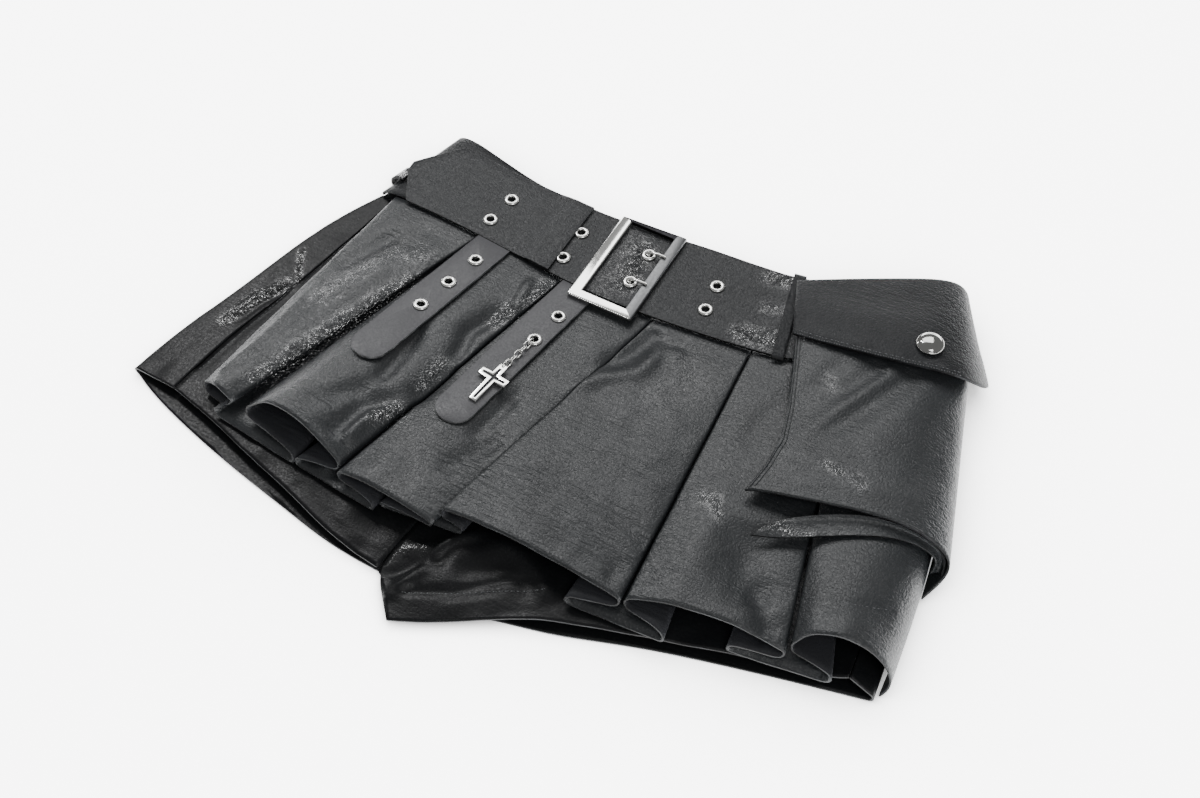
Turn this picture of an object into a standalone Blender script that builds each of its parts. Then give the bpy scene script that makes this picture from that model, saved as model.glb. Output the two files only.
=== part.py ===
"""A pleated skort with a wide buckled belt and a bellows pocket, laid flat with its front up.

The shorts lie on the surface, the pleated skirt lies on the shorts, and the belt, the two tabs
and the pocket lie on the skirt. +X is the wearer's left, +Y runs to the waist and +Z is up. The
origin is on the surface, below the front. Sizes and places are in millimetres up to the meshes.
"""

import math
from collections import namedtuple

import bmesh
import bpy
from mathutils import Matrix, Vector
from mathutils.bvhtree import BVHTree

MM = 0.001

# ---------------------------------------------------------------- walls and gaps
CLOTH = 1.2
STRAP = 1.6
SEAM_GAP = 0.4
EDGE_GAP = 0.9
REST_GAP = 0.35
SIDE_SEAM_GAP = 0.8
FLOOR_Z = CLOTH / 2
FOLD_STEPS = 4
QUARTER = math.pi / 2

# ---------------------------------------------------------------- the waist
# One row for each station from the wearer's right fold to the left one: the band's lower edge
# and its upper edge, at the middle of the wall.
Band = namedtuple("Band", "low_x low_y low_z top_x top_y top_z")
WAIST = [
    Band(-187.5, 97, 2.6, -167, 161, 2.6),
    Band(-184.5, 96, 8.0, -165, 165, 9.5),
    Band(-165, 94, 13.4, -150, 163.5, 12.8),
    Band(-132, 92, 14.4, -120, 156, 13.4),
    Band(-95, 89, 14.6, -88, 149, 13.8),
    Band(-44, 84, 14.6, -44, 145, 14.2),
    Band(0, 82, 14.6, 0, 147, 14.4),
    Band(45, 84, 14.8, 40, 151, 14.6),
    Band(90, 88, 15.4, 80, 153, 15.6),
    Band(122, 92, 17.0, 107, 155, 17.5),
    Band(168, 103, 21.5, 150, 164, 22.5),
    Band(210, 118, 22.5, 187, 180, 22.5),
    Band(228, 126, 16.0, 203, 187, 15.0),
    Band(234, 129, 2.6, 209, 190, 2.6),
]
BAND_COLUMNS = 4
BAND_PANELS = 36
BACK_BAND_PANELS = 18

# ---------------------------------------------------------------- the pleated skirt
# Between two panels the cloth turns under to the left, runs back to the right below both and
# turns under again to reach the next panel. Every place here is at the hem, but for waist_x.
Pleat = namedtuple(
    "Pleat",
    "waist_x left_x left_y left_z left_tip_x left_tip_y right_tip_x right_tip_y right_x right_y right_z",
)
PLEATS = [
    Pleat(-103, -166, -113, 24, -169, -120, -109, -129, -148, -113, 25),
    Pleat(-34, -79, -122, 25, -102, -128, -47, -134, -71, -126, 24),
    Pleat(35, -7, -130, 22.5, -39, -129, 9, -122, 0, -121, 28),
    Pleat(103.5, 118, -123, 24.5, 93, -134, 150, -129, 126, -121, 24.5),
    Pleat(164, 217, -107, 24.5, 191, -117, 246, -106, 224, -101, 27),
]
# How far each panel's top arches above its two corners, how square the arch is, how far its
# peak is moved to the left (below 1) and how far its hem bows up towards the waist.
Panel = namedtuple("Panel", "waist_crown hem_crown squareness lean bow")
PANELS = [
    Panel(0.2, 4, 1.0, 1.0, 0),
    Panel(1.2, 14, 0.7, 0.6, 7),
    Panel(0.8, 3.5, 0.8, 0.9, 1),
    Panel(0.6, 3, 0.7, 0.8, 3),
    Panel(0.6, 5.5, 0.7, 0.8, 5),
    Panel(0.5, 12, 0.6, 1.0, 4),
]
CROWN_GROWTH = 1.8
WAIST_REACH = 7.0
LAYER_PITCH = 1.9
BAND_TO_LOW_LAYER = 5.6
HEM_LOW_Z = 11.6
HEM_TIP_HEIGHT = 6.6
HEM_BELLY = 1.1
TURN_BULGE = 2.9
HEM_EASING = 3
PANEL_STEPS = 6
RUN_STEPS = 4
SKIRT_START_WAIST_X = -173
SKIRT_START_HEM = (-186, -107, 21)
SKIRT_START_TIP = (-171, -112)
SKIRT_SIDE_WAIST_X = 232
SKIRT_SIDE_WAIST_Z = 3.4
SKIRT_SIDE_WAIST_ROUND = 16
# The last panel's hem: over the side of the shorts and down to the surface.
SKIRT_SIDE_HEM = [
    (228, -95.5, 33),
    (240, -90, 37),
    (254, -87, 36.5),
    (266, -86, 31.5),
    (274, -87, 24),
    (278.5, -88.5, 16.5),
    (279.6, -90, 10),
    (278.2, -92.5, 4.8),
    (275.8, -94.5, 1.3),
]
SKIRT_SIDE_BULGE = 8.5
SKIRT_ROWS = (0, 0.08, 0.2, 0.36, 0.53, 0.7, 0.86, 1)

# ---------------------------------------------------------------- the shorts
Spot = namedtuple("Spot", "x y z")
CENTRE_WAIST_X = 5
CROTCH = (-23, -163)
CROTCH_Z = 4.6
CENTRE_MIDDLE_Z = 6.4
RIGHT_HEM_FRONT = [
    Spot(-209, -114.5, 7.5),
    Spot(-171, -124, 8.6),
    Spot(-137, -135, 8.8),
    Spot(-110, -142, 8.6),
    Spot(-89, -149, 8.2),
    Spot(-55, -159, 6.6),
]
RIGHT_SEAM_FRONT = [Spot(-190, 5, 4.8), Spot(-203, -60, 6), Spot(-209, -114.5, 7.5)]
RIGHT_SEAM_WAIST_X = -177
RIGHT_HEM_BACK = [
    Spot(-60, -161, FLOOR_Z),
    Spot(-102, -152, FLOOR_Z),
    Spot(-155, -141, FLOOR_Z),
    Spot(-215, -124, FLOOR_Z),
    Spot(-241, -112, FLOOR_Z),
]
RIGHT_FOLD = [(-186, 95), (-200, 65), (-210, 32), (-220, -14), (-231, -55), (-238, -89), (-241, -112)]
LEFT_INSEAM = Spot(2, -191, 2.6)
LEFT_HEM_FRONT = [
    Spot(24, -181, 4.2),
    Spot(47, -167, 5.5),
    Spot(78, -149, 8.0),
    Spot(110, -139, 8.6),
    Spot(150, -127, 8.8),
    Spot(200, -112, 8.6),
    Spot(236, -104, 8.6),
    Spot(249, -101, 9.0),
    Spot(257, -98.5, 12.8),
]
LEFT_SEAM_FRONT = [Spot(230, 62, 9.5), Spot(246, -20, 9.5), Spot(257, -98.5, 12.8)]
LEFT_SEAM_WAIST_X = 220
LEFT_HEM_BACK = [
    Spot(4, -177, FLOOR_Z),
    Spot(45, -161, FLOOR_Z),
    Spot(93, -150, FLOOR_Z),
    Spot(136, -134, FLOOR_Z),
    Spot(202, -116, FLOOR_Z),
    Spot(270, -100, FLOOR_Z),
]
LEFT_FOLD = [(226, 124), (238, 76), (250, 20), (260, -30), (266, -65), (270, -100)]
FOLD_RADIUS_WAIST = 1.4
FOLD_RADIUS_RIGHT_HEM = 2.4
FOLD_RADIUS_LEFT_HEM = 4.2
SHORTS_BELOW_SKIRT = 2.3
# A raised crease in the cloth: where it runs, its height at each end and its half width.
Ridge = namedtuple("Ridge", "x0 y0 x1 y1 rise0 rise1 width")
THIGH_RIDGES = [
    Ridge(4, -187, 32, -121, 1.5, 9.5, 10),
    Ridge(32, -121, 46, -75, 9.5, 0.5, 13),
]
SHORTS_ROWS = 9
CROTCH_ROW = 7
SHORTS_COLUMNS = 9
BACK_COLUMNS = 8
STRIP_COLUMNS = 2

# ---------------------------------------------------------------- belt, tabs and their metal
BELT_LIFT = 1.8
BELT_LOW = -0.05
BELT_TOP = 1.0
BELT_MAIN_X = (-60, 200)
BELT_TAIL_EDGE_X = -44.7
TAIL_LAP = (-70, -61)
# The tail's pointed end: x at a share of the way up from its lower edge.
TAIL_END = [(0.0, -163), (0.45, -180.5), (1.0, -153)]
TAIL_TOP = 0.86
TAIL_FULL_X = -60
TAIL_END_Z = 15.6
TAIL_LEVEL_X = (-175, -120)
TAIL_COLUMNS = 16
MAIN_COLUMNS = 26
# The pairs of eyelets along the belt: x of both, y of the upper and of the lower one.
EyeletPair = namedtuple("EyeletPair", "x y_high y_low strap")
BELT_PAIRS = [
    EyeletPair(-99.5, 125, 102, "belt_tail"),
    EyeletPair(-42.4, 121.5, 96, "belt_main"),
    EyeletPair(8, 126, 99, "belt_main"),
    EyeletPair(61, 123, 101.5, "belt_main"),
]
EYELET_BORE = 2.5
EYELET_BARREL = 2.85
EYELET_FLANGE = 5.1
EYELET_RISE = 1.15
EYELET_SIDES = 12
EYELET_HOLE = 3.2
HOLE_SIDES = 12

BUCKLE_MIDDLE = (0.8, 107.5)
BUCKLE_OUTER = (48, 78)
BUCKLE_WINDOW_MIDDLE = (0.9, 109.4)
BUCKLE_WINDOW = (32.4, 68)
BUCKLE_THICKNESS = 3.2
BUCKLE_EDGE = 0.7
BUCKLE_LIFT = 0.4
PRONG_WIRE = 1.9
PRONG_PAST_HOLE = 0.3
# How far each point of a prong is from the window's bar towards the hole, as a share of the way
# (below 0 it is past the bar), and how far below the bar's top.
PRONG_PATH = [(-0.38, 0), (0.03, 0), (0.45, 0.9), (0.75, 2.3), (0.94, 4.2), (1.0, 6.0)]

LOOP_WIDTH = 8.0
LEFT_LOOP_X = 113.5
# Across the band, and the height over the band's own middle.
LEFT_LOOP_PATH = [
    (1.03, -0.4), (1.035, 1.4), (1.03, 3.0), (0.99, 4.0), (0.8, 4.1), (0.5, 4.1),
    (0.2, 4.1), (-0.03, 4.1), (-0.075, 3.4), (-0.09, 2.2),
]
LEFT_LOOP_SLANT = 1 / 6
RIGHT_LOOP_Y = 114
RIGHT_LOOP_WIDTH = 12
RIGHT_LOOP_PATH = [(-175, 13.4), (-179, 13.2), (-182.4, 12), (-184.8, 9.5), (-185.6, 6), (-185, 2.6)]
RIGHT_LOOP_SLANT = 0.3

# A tab's eyelets are at these distances down it, and to one side of its middle.
Tab = namedtuple("Tab", "name top_x top_y tip_x tip_y lift eyelets eyelet_side")
TABS = [
    Tab("tab_right", -88.5, 88, -109.5, -48, 0, (24.0, 51.5, 79.0), 1.5),
    Tab("tab_middle", -19.0, 80.5, -37.5, -62, 0.7, (31.5, 57.0), 5.0),
]
TAB_WIDTH = 26.0
TAB_ROWS = 18
TAB_TIP_ROWS = 5
TAB_COLUMNS = 4

RING_RADIUS = 3.0
RING_WIRE = 1.0
RING_RISE = 1.5
RING_AHEAD = 3.6
RING_HOLE = 1.4
RING_SIDES = 16
LINK_COUNT = 5
LINK_LENGTH = 6.4
LINK_WIDTH = 3.7
LINK_WIRE = 0.9
LINK_PLAY = 0.45
LINK_SIDES = 12
LINK_LIFT = 2.2
CROSS_LENGTH = 33.0
CROSS_SPAN = 21.0
CROSS_ARM = 5.6
CROSS_THICKNESS = 1.8
CROSS_ARM_DOWN = 8.5
CROSS_HOLE = 1.3
CROSS_HOLE_DOWN = 2.2
CROSS_RING_RADIUS = 2.6

# ---------------------------------------------------------------- the pocket
# The pocket's own frame: its upper left corner, and the turn that its sides follow.
POCKET_CORNER = (112, 140)
POCKET_TURN = math.radians(12.5)
POCKET_TOP_DOWN = 36
# The left edge: how far across it is at a share of the way down.
POCKET_LEFT = [(0.0, 6), (0.2, 10), (0.45, 14.5), (0.68, 16.5), (0.85, 11), (1.0, 4)]
# One row for each station: its share of the way across, how far across and down its lower end
# is, the height of the wall at the top and at the lower end, and how far that end curls in.
PocketColumn = namedtuple("PocketColumn", "share across down top_z low_z curl")
POCKET_COLUMNS = [
    PocketColumn(0, 4, 167, 22, 30, 0),
    PocketColumn(0.1, 16, 167, 25, 32, 0),
    PocketColumn(0.25, 35, 167, 28, 34.5, 0),
    PocketColumn(0.42, 57, 167, 30, 36.5, 0),
    PocketColumn(0.58, 77, 167, 31, 37.5, 0),
    PocketColumn(0.74, 97, 168, 30, 37, 0),
    PocketColumn(0.87, 113, 170, 28, 33.5, 0),
    PocketColumn(0.95, 126, 173, 24, 27, 0),
    PocketColumn(1.0, 132.5, 176, 18, 19.5, 0),
    PocketColumn(1.0, 132.5, 182, 11, 11, 1),
    PocketColumn(1.0, 132.5, 195, 5, 3.4, 12),
]
POCKET_WIDTH_TOP = 119
POCKET_EVEN_SHARE = 0.42
POCKET_ROWS = 9
POCKET_TOP_DRAPED = 7
# The bag's bottom: a fold that leaves the front's lower end, sinks and comes out to a lower lip.
Gusset = namedtuple("Gusset", "top_x top_y top_z low_x low_y low_z")
GUSSET = [
    Gusset(170, -44.5, 29.2, 168.5, -47.5, 27),
    Gusset(177, -35, 31.4, 180, -44, 28.2),
    Gusset(187, -26, 32.2, 193, -37.5, 29),
    Gusset(206, -14.5, 34.0, 209, -28.5, 30.8),
    Gusset(225, -5.5, 35.0, 228, -18, 31.8),
    Gusset(243, -2.0, 34.6, 243, -11, 31.2),
    Gusset(258, -0.5, 31.0, 256, -6.5, 28.6),
    Gusset(270.2, -0.5, 24.8, 267, -4.5, 22.6),
    Gusset(276.4, -2.0, 18.2, 271.6, -4.9, 17),
    Gusset(277.0, -9.0, 11, 269.9, -10, 11),
]
GUSSET_SINK = 3.0
GUSSET_ROWS = 4
Flap = namedtuple("Flap", "top_x top_y top_z low_x low_y low_z")
FLAP = [
    Flap(107, 147, 25, 124, 104, 26.5),
    Flap(120, 153.5, 27, 142, 103, 30.5),
    Flap(137, 162.5, 28, 159, 103.5, 34),
    Flap(158, 174, 28.5, 181, 105.5, 36.8),
    Flap(176, 184, 28.5, 203, 109, 38.2),
    Flap(190, 192, 27.5, 221, 114, 37),
    Flap(201, 197, 24.5, 235, 119, 32.5),
    Flap(208, 196.5, 20, 243.5, 123, 26),
    Flap(211.5, 193, 14, 248, 130, 18),
    Flap(212.5, 189, 9, 248.5, 137, 10),
]
FLAP_ROWS = 6
FLAP_BOW = 2.0
FLAP_DRAPE = 1.4
SNAP_PLACE = (207, 129.5)
SNAP_RADIUS = 9.0
SNAP_RISE = 4.2
SNAP_RIM = 1.2
SNAP_FOOT = 8.5
SNAP_STEPS = 5
SNAP_SIDES = 20

LEATHER = ("coated_leather", "#37393b", 0.42, 0.0)
SHORTS_LEATHER = ("shorts_leather", "#2b2c2e", 0.5, 0.0)
BELT_LEATHER = ("belt_leather", "#333436", 0.5, 0.0)
TAB_LEATHER = ("tab_leather", "#434346", 0.45, 0.0)
STEEL = ("nickelled_steel", "#d8dadc", 0.22, 1.0)


# ---------------------------------------------------------------- small helpers
def clear_scene():
    for item in list(bpy.data.objects):
        bpy.data.objects.remove(item, do_unlink=True)


def new_collection(name, hidden=False):
    group = bpy.data.collections.new(name)
    group.hide_render = hidden
    bpy.context.scene.collection.children.link(group)
    return group


def linear(channel):
    return channel / 12.92 if channel <= 0.04045 else ((channel + 0.055) / 1.055) ** 2.4


def material(finish):
    name, colour, roughness, metallic = finish
    found = bpy.data.materials.get(name)
    if found:
        return found
    made = bpy.data.materials.new(name)
    made.use_nodes = True
    shader = made.node_tree.nodes["Principled BSDF"]
    channels = [linear(int(colour[i : i + 2], 16) / 255) for i in (1, 3, 5)]
    shader.inputs["Base Color"].default_value = channels + [1]
    shader.inputs["Roughness"].default_value = roughness
    shader.inputs["Metallic"].default_value = metallic
    made.diffuse_color = channels + [1]
    return made


def mix(a, b, share):
    return a + (b - a) * share


def mix_all(a, b, share):
    return tuple(mix(p, q, share) for p, q in zip(a, b))


def smooth_share(value, start, end):
    """0 before the start and 1 past the end, with an even curve between them."""
    share = min(max((value - start) / (end - start), 0.0), 1.0)
    return share * share * (3 - 2 * share)


def along(rows, place):
    """The row at a place counted in rows from 0, on a smooth curve through all of them."""
    place = min(max(place, 0.0), len(rows) - 1.0)
    first = min(int(place), len(rows) - 2)
    share = place - first
    before = rows[max(first - 1, 0)]
    start, end = rows[first], rows[first + 1]
    after = rows[min(first + 2, len(rows) - 1)]
    square, cube = share**2, share**3
    result = []
    for p0, p1, p2, p3 in zip(before, start, end, after):
        ease = (2 * cube - 3 * square + 1) * p1 + (3 * square - 2 * cube) * p2
        pull = (cube - 2 * square + share) * (p2 - p0) / 2 + (cube - square) * (p3 - p1) / 2
        result.append(ease + pull)
    return tuple(result)


def part_way(rows, share):
    """The row at a share of the way through the table, from 0 to 1."""
    return along(rows, share * (len(rows) - 1))


def read_off(pairs, key):
    """A value read from (key, value) pairs, on straight lines between them."""
    for (k0, v0), (k1, v1) in zip(pairs, pairs[1:]):
        if key <= k1:
            return mix(v0, v1, (key - k0) / (k1 - k0))
    return pairs[-1][1]


def add_part(name, mesh, finish, group):
    mesh.materials.append(material(finish))
    part = bpy.data.objects.new(name, mesh)
    group.objects.link(part)
    return part


def mesh_of(points, faces, name):
    mesh = bpy.data.meshes.new(name)
    mesh.from_pydata([Vector(point) * MM for point in points], [], faces)
    mesh.shade_smooth()
    return mesh


def sheet_mesh(name, rows):
    """An open surface of rows with equal numbers of points."""
    width = len(rows[0])
    points = [point for row in rows for point in row]
    faces = []
    for r in range(len(rows) - 1):
        for c in range(width - 1):
            corner = r * width + c
            faces.append((corner, corner + width, corner + width + 1, corner + 1))
    return mesh_of(points, faces, name)


def cloth(name, rows, thickness, finish, group):
    """A wall of even thickness whose middle is the surface through the rows."""
    part = add_part(name, sheet_mesh(name, rows), finish, group)
    wall = part.modifiers.new("wall", "SOLIDIFY")
    wall.thickness = thickness * MM
    wall.offset = 0
    wall.use_even_offset = True
    return part


def turned(name, profile, sides, finish, group, closed=True):
    """A ring or a knob turned from its profile of (radius, height) round +Z."""
    count = len(profile)
    edges = [(i, (i + 1) % count) for i in range(count if closed else count - 1)]
    mesh = bpy.data.meshes.new(name)
    mesh.from_pydata([Vector((radius, 0, height)) * MM for radius, height in profile], edges, [])
    part = add_part(name, mesh, finish, group)
    turn = part.modifiers.new("turn", "SCREW")
    turn.steps = sides
    turn.render_steps = sides
    turn.use_merge_vertices = True
    turn.merge_threshold = 0.00001
    return part


def curve_part(name, curve, finish, group):
    """A curve's evaluated mesh as a part, with its caps welded."""
    guide = bpy.data.objects.new(name + "_guide", curve)
    bpy.context.scene.collection.objects.link(guide)
    bpy.context.view_layer.update()
    graph = bpy.context.evaluated_depsgraph_get()
    mesh = bpy.data.meshes.new_from_object(guide.evaluated_get(graph))
    bpy.data.objects.remove(guide, do_unlink=True)
    work = bmesh.new()
    work.from_mesh(mesh)
    bmesh.ops.remove_doubles(work, verts=work.verts, dist=0.00001)
    bmesh.ops.recalc_face_normals(work, faces=work.faces)
    work.to_mesh(mesh)
    work.free()
    mesh.materials.clear()
    return add_part(name, mesh, finish, group)


def add_outline(curve, corners):
    spline = curve.splines.new("POLY")
    spline.points.add(len(corners) - 1)
    for point, corner in zip(spline.points, corners):
        point.co = (*(Vector(corner).to_3d() * MM), 1)
    spline.use_cyclic_u = True


def plate_curve(name, outlines, thickness, edge=0.0):
    """A flat plate with the outlines' shape, the later outlines being holes in it."""
    curve = bpy.data.curves.new(name, "CURVE")
    curve.dimensions = "2D"
    curve.fill_mode = "BOTH"
    curve.extrude = (thickness / 2 - edge) * MM
    curve.bevel_depth = edge * MM
    curve.bevel_resolution = 1
    for outline in outlines:
        add_outline(curve, outline)
    return curve


def move_origin(part, frame):
    """Puts the part's origin and axes on a frame and leaves its shape where it is."""
    part.data.transform(frame.inverted() @ part.matrix_world)
    part.matrix_world = frame


def wire_part(name, path, thickness, finish, group, closed=False):
    curve = bpy.data.curves.new(name, "CURVE")
    curve.dimensions = "3D"
    curve.bevel_depth = thickness * MM / 2
    curve.bevel_resolution = 1
    curve.use_fill_caps = not closed
    add_outline(curve, path)
    curve.splines[0].use_cyclic_u = closed
    return curve_part(name, curve, finish, group)


def cut(part, cutter, name="cut"):
    step = part.modifiers.new(name, "BOOLEAN")
    step.operation = "DIFFERENCE"
    step.object = cutter


def add_cutter(name, mesh, group):
    cutter = bpy.data.objects.new(name, mesh)
    cutter.hide_render = True
    cutter.display_type = "WIRE"
    group.objects.link(cutter)
    return cutter


def plugs(name, frames, radius, group):
    """One cutter with a plug for each hole that a strap needs."""
    work = bmesh.new()
    for frame in frames:
        bmesh.ops.create_cone(
            work,
            cap_ends=True,
            segments=HOLE_SIDES,
            radius1=radius * MM,
            radius2=radius * MM,
            depth=6 * STRAP * MM,
            matrix=frame,
        )
    mesh = bpy.data.meshes.new(name)
    work.to_mesh(mesh)
    work.free()
    return add_cutter(name, mesh, group)


def surface_of(parts):
    """A tree of the parts as built, for the height of what lies below a point."""
    bpy.context.view_layer.update()
    graph = bpy.context.evaluated_depsgraph_get()
    points, faces = [], []
    for part in parts:
        evaluated = part.evaluated_get(graph)
        mesh = evaluated.to_mesh()
        start = len(points)
        points += [vertex.co.copy() for vertex in mesh.vertices]
        faces += [[start + index for index in face.vertices] for face in mesh.polygons]
        evaluated.to_mesh_clear()
    return BVHTree.FromPolygons(points, faces)


def top_of(tree, x, y):
    """The height of the highest surface at a place, or 0 beside all of them."""
    hit = tree.ray_cast(Vector((x * MM, y * MM, 1.0)), Vector((0, 0, -1)))[0]
    return hit.z / MM if hit else 0.0


def highest_near(tree, x, y, reach):
    half = reach * math.sqrt(0.5)
    spots = [(0, 0), (reach, 0), (-reach, 0), (0, reach), (0, -reach)]
    spots += [(half, half), (half, -half), (-half, half), (-half, -half)]
    return max(top_of(tree, x + dx, y + dy) for dx, dy in spots)


# ---------------------------------------------------------------- waist
def band_point(place, across, lift=0.0):
    """A point of the band: place in stations, across from 0 at the lower edge to 1."""
    row = Band(*along(WAIST, place))
    x, y, z = mix_all(row[:3], row[3:], across)
    return (x, y, z + lift)


def band_place(x, across=0.0):
    """The station at which the band passes an x."""
    low, high = 0.0, len(WAIST) - 1.0
    for _ in range(30):
        middle = (low + high) / 2
        if band_point(middle, across)[0] < x:
            low = middle
        else:
            high = middle
    return (low + high) / 2


def below_band(x, gap=SEAM_GAP):
    """Just below the band's lower edge: y, and the height of the band there."""
    point = band_point(band_place(x), 0.0)
    return point[1] - gap, point[2]


def build_waistband(group):
    def rows(panels):
        places = [i * (len(WAIST) - 1) / panels for i in range(panels + 1)]
        shares = [i / BAND_COLUMNS for i in range(BAND_COLUMNS + 1)]
        return [[band_point(place, share) for share in shares] for place in places]

    front = rows(BAND_PANELS)
    back = [[(x, y, FLOOR_Z) for x, y, _ in row] for row in rows(BACK_BAND_PANELS)]
    return [
        cloth("waistband_front", front, CLOTH, LEATHER, group),
        cloth("waistband_back", back, CLOTH, LEATHER, group),
    ]


# ---------------------------------------------------------------- skirt
def half_turn(x, z_from, z_to, bulge):
    """A fold seen from its end: it bulges by a signed width on its way to the next layer."""
    middle, rise = (z_from + z_to) / 2, (z_from - z_to) / 2
    angles = [QUARTER - math.pi * i / FOLD_STEPS for i in range(FOLD_STEPS + 1)]
    return [(x + bulge * math.cos(a), middle + rise * math.sin(a)) for a in angles]


def crown_of(panel, crown, share):
    return crown * math.sin(math.pi * share**panel.lean) ** panel.squareness


def hem_turn(x, y, z_from, z_to, bulge):
    return [(px, y, pz) for px, pz in half_turn(x, z_from, z_to, bulge)]


def hem_underlay(pleat):
    """From the left panel's corner under both panels to the right panel's corner."""
    low, high = HEM_LOW_Z, HEM_LOW_Z + HEM_TIP_HEIGHT
    bulge = HEM_TIP_HEIGHT / 2
    left, right = (pleat.left_tip_x, pleat.left_tip_y), (pleat.right_tip_x, pleat.right_tip_y)
    corners = (pleat.left_x, pleat.left_y), (pleat.right_x, pleat.right_y)
    points = hem_turn(*corners[0], pleat.left_z, high, TURN_BULGE)
    points.append((*mix_all(corners[0], left, 0.5), high + HEM_BELLY))
    points += hem_turn(*left, high, low, -bulge)
    points += [(*mix_all(left, right, i / RUN_STEPS), low) for i in range(1, RUN_STEPS)]
    points += hem_turn(*right, low, high, bulge)
    points.append((*mix_all(right, corners[1], 0.5), high + HEM_BELLY))
    return points + hem_turn(*corners[1], high, pleat.right_z, -TURN_BULGE)


def skirt_hem():
    """The cut edge at the hem from the wearer's right to the left: the points and the crowns."""
    x, y, z = SKIRT_START_HEM
    section = [(*SKIRT_START_TIP, HEM_LOW_Z)] + hem_turn(x, y, HEM_LOW_Z, z, -TURN_BULGE)
    crowns = [0.0] * len(section)
    for pleat, panel in zip(PLEATS, PANELS):
        start = section[-1]
        end = (pleat.left_x, pleat.left_y, pleat.left_z)
        for step in range(1, PANEL_STEPS):
            share = step / PANEL_STEPS
            x, y, z = mix_all(start, end, share)
            section.append((x, y + panel.bow * math.sin(math.pi * share), z))
            crowns.append(crown_of(panel, panel.hem_crown, share))
        section += hem_underlay(pleat)
        crowns += [0.0] * (len(section) - len(crowns))
    start, panel = section[-1], PANELS[-1]
    for x, y, z in SKIRT_SIDE_HEM:
        base = min(z, start[2])
        section.append((x, y, base))
        crowns.append(z - base)
    for _ in range(HEM_EASING):
        for index in range(1, len(section) - 1):
            x, y, z = section[index]
            beside = (section[index - 1][1] + section[index + 1][1]) / 2
            section[index] = (x, (y + beside) / 2, z)
    return section, crowns


def skirt_waist():
    """The edge below the waistband, point for point as at the hem: x, and height over the low layer."""
    high, middle, bulge = 2 * LAYER_PITCH, LAYER_PITCH, LAYER_PITCH / 2
    x = SKIRT_START_WAIST_X
    section = [(x + WAIST_REACH, 0)] + half_turn(x, 0, high, -LAYER_PITCH)
    for pleat, panel in zip(PLEATS, PANELS):
        start, end = section[-1][0], pleat.waist_x - LAYER_PITCH
        for step in range(1, PANEL_STEPS):
            share = step / PANEL_STEPS
            section.append((mix(start, end, share), high + crown_of(panel, panel.waist_crown, share)))
        left, right = end - WAIST_REACH, pleat.waist_x + LAYER_PITCH + WAIST_REACH
        section += half_turn(end, high, middle, bulge)
        section.append((mix(end, left, 0.5), middle))
        section += half_turn(left, middle, 0, -bulge)
        section += [(mix(left, right, i / RUN_STEPS), 0) for i in range(1, RUN_STEPS)]
        section += half_turn(right, 0, middle, bulge)
        section.append((mix(right, pleat.waist_x + LAYER_PITCH, 0.5), middle))
        section += half_turn(pleat.waist_x + LAYER_PITCH, middle, high, -bulge)
    start, count = section[-1][0], len(SKIRT_SIDE_HEM)
    edge = SKIRT_SIDE_WAIST_X - SKIRT_SIDE_WAIST_ROUND
    flat = count - FOLD_STEPS - 1
    section += [(mix(start, edge, i / flat), high) for i in range(1, flat + 1)]
    points = []
    for x, height in section:
        y, band_z = below_band(x, EDGE_GAP)
        points.append((x, y, band_z - BAND_TO_LOW_LAYER + height))
    top = points[-1][2]
    for step in range(1, FOLD_STEPS + 2):
        angle = QUARTER * (1 - step / (FOLD_STEPS + 1))
        x = edge + SKIRT_SIDE_WAIST_ROUND * math.cos(angle)
        y, _ = below_band(x, EDGE_GAP)
        points.append((x, y, mix(SKIRT_SIDE_WAIST_Z, top, math.sin(angle))))
    return points


def build_skirt(group):
    (hem, crowns), waist = skirt_hem(), skirt_waist()
    side_start, side_end = PLEATS[-1].waist_x, SKIRT_SIDE_WAIST_X
    rows = []
    for share in SKIRT_ROWS:
        row = []
        for top, bottom, crown in zip(waist, hem, crowns):
            x, y, z = mix_all(top, bottom, share)
            swell = SKIRT_SIDE_BULGE * math.sin(math.pi * share)
            x += swell * smooth_share(top[0], side_start, side_end)
            row.append((x, y, z + crown * share**CROWN_GROWTH))
        rows.append(row)
    return cloth("skirt_overlay", rows, CLOTH, LEATHER, group)


# ---------------------------------------------------------------- shorts
def ridge_rise(x, y):
    total = 0.0
    for ridge in THIGH_RIDGES:
        run = Vector((ridge.x1 - ridge.x0, ridge.y1 - ridge.y0))
        reach = Vector((x - ridge.x0, y - ridge.y0))
        share = min(max(reach.dot(run) / run.length_squared, 0.0), 1.0)
        away = (reach - run * share).length / ridge.width
        total = max(total, mix(ridge.rise0, ridge.rise1, share) * math.exp(-away * away))
    return total


def patch(top, bottom, left, right, columns, rows):
    """Rows of points filling four edges, given as functions of a share from 0 to 1."""
    corners = (Vector(top(0)), Vector(top(1)), Vector(bottom(0)), Vector(bottom(1)))
    filled = []
    for r in range(rows + 1):
        t = r / rows
        row = []
        for c in range(columns + 1):
            s = c / columns
            across = Vector(left(t)).lerp(Vector(right(t)), s)
            down = Vector(top(s)).lerp(Vector(bottom(s)), t)
            twice = corners[0].lerp(corners[1], s).lerp(corners[2].lerp(corners[3], s), t)
            row.append(tuple(across + down - twice))
        filled.append(row)
    return filled


def below_band_front(x):
    y, band_z = below_band(x, EDGE_GAP)
    low = band_z - BAND_TO_LOW_LAYER - SHORTS_BELOW_SKIRT
    return Spot(x, y, max(low, FLOOR_Z + CLOTH + 2 * REST_GAP))


def below_band_back(x):
    return Spot(x, below_band(x, EDGE_GAP)[0], FLOOR_Z)


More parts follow.
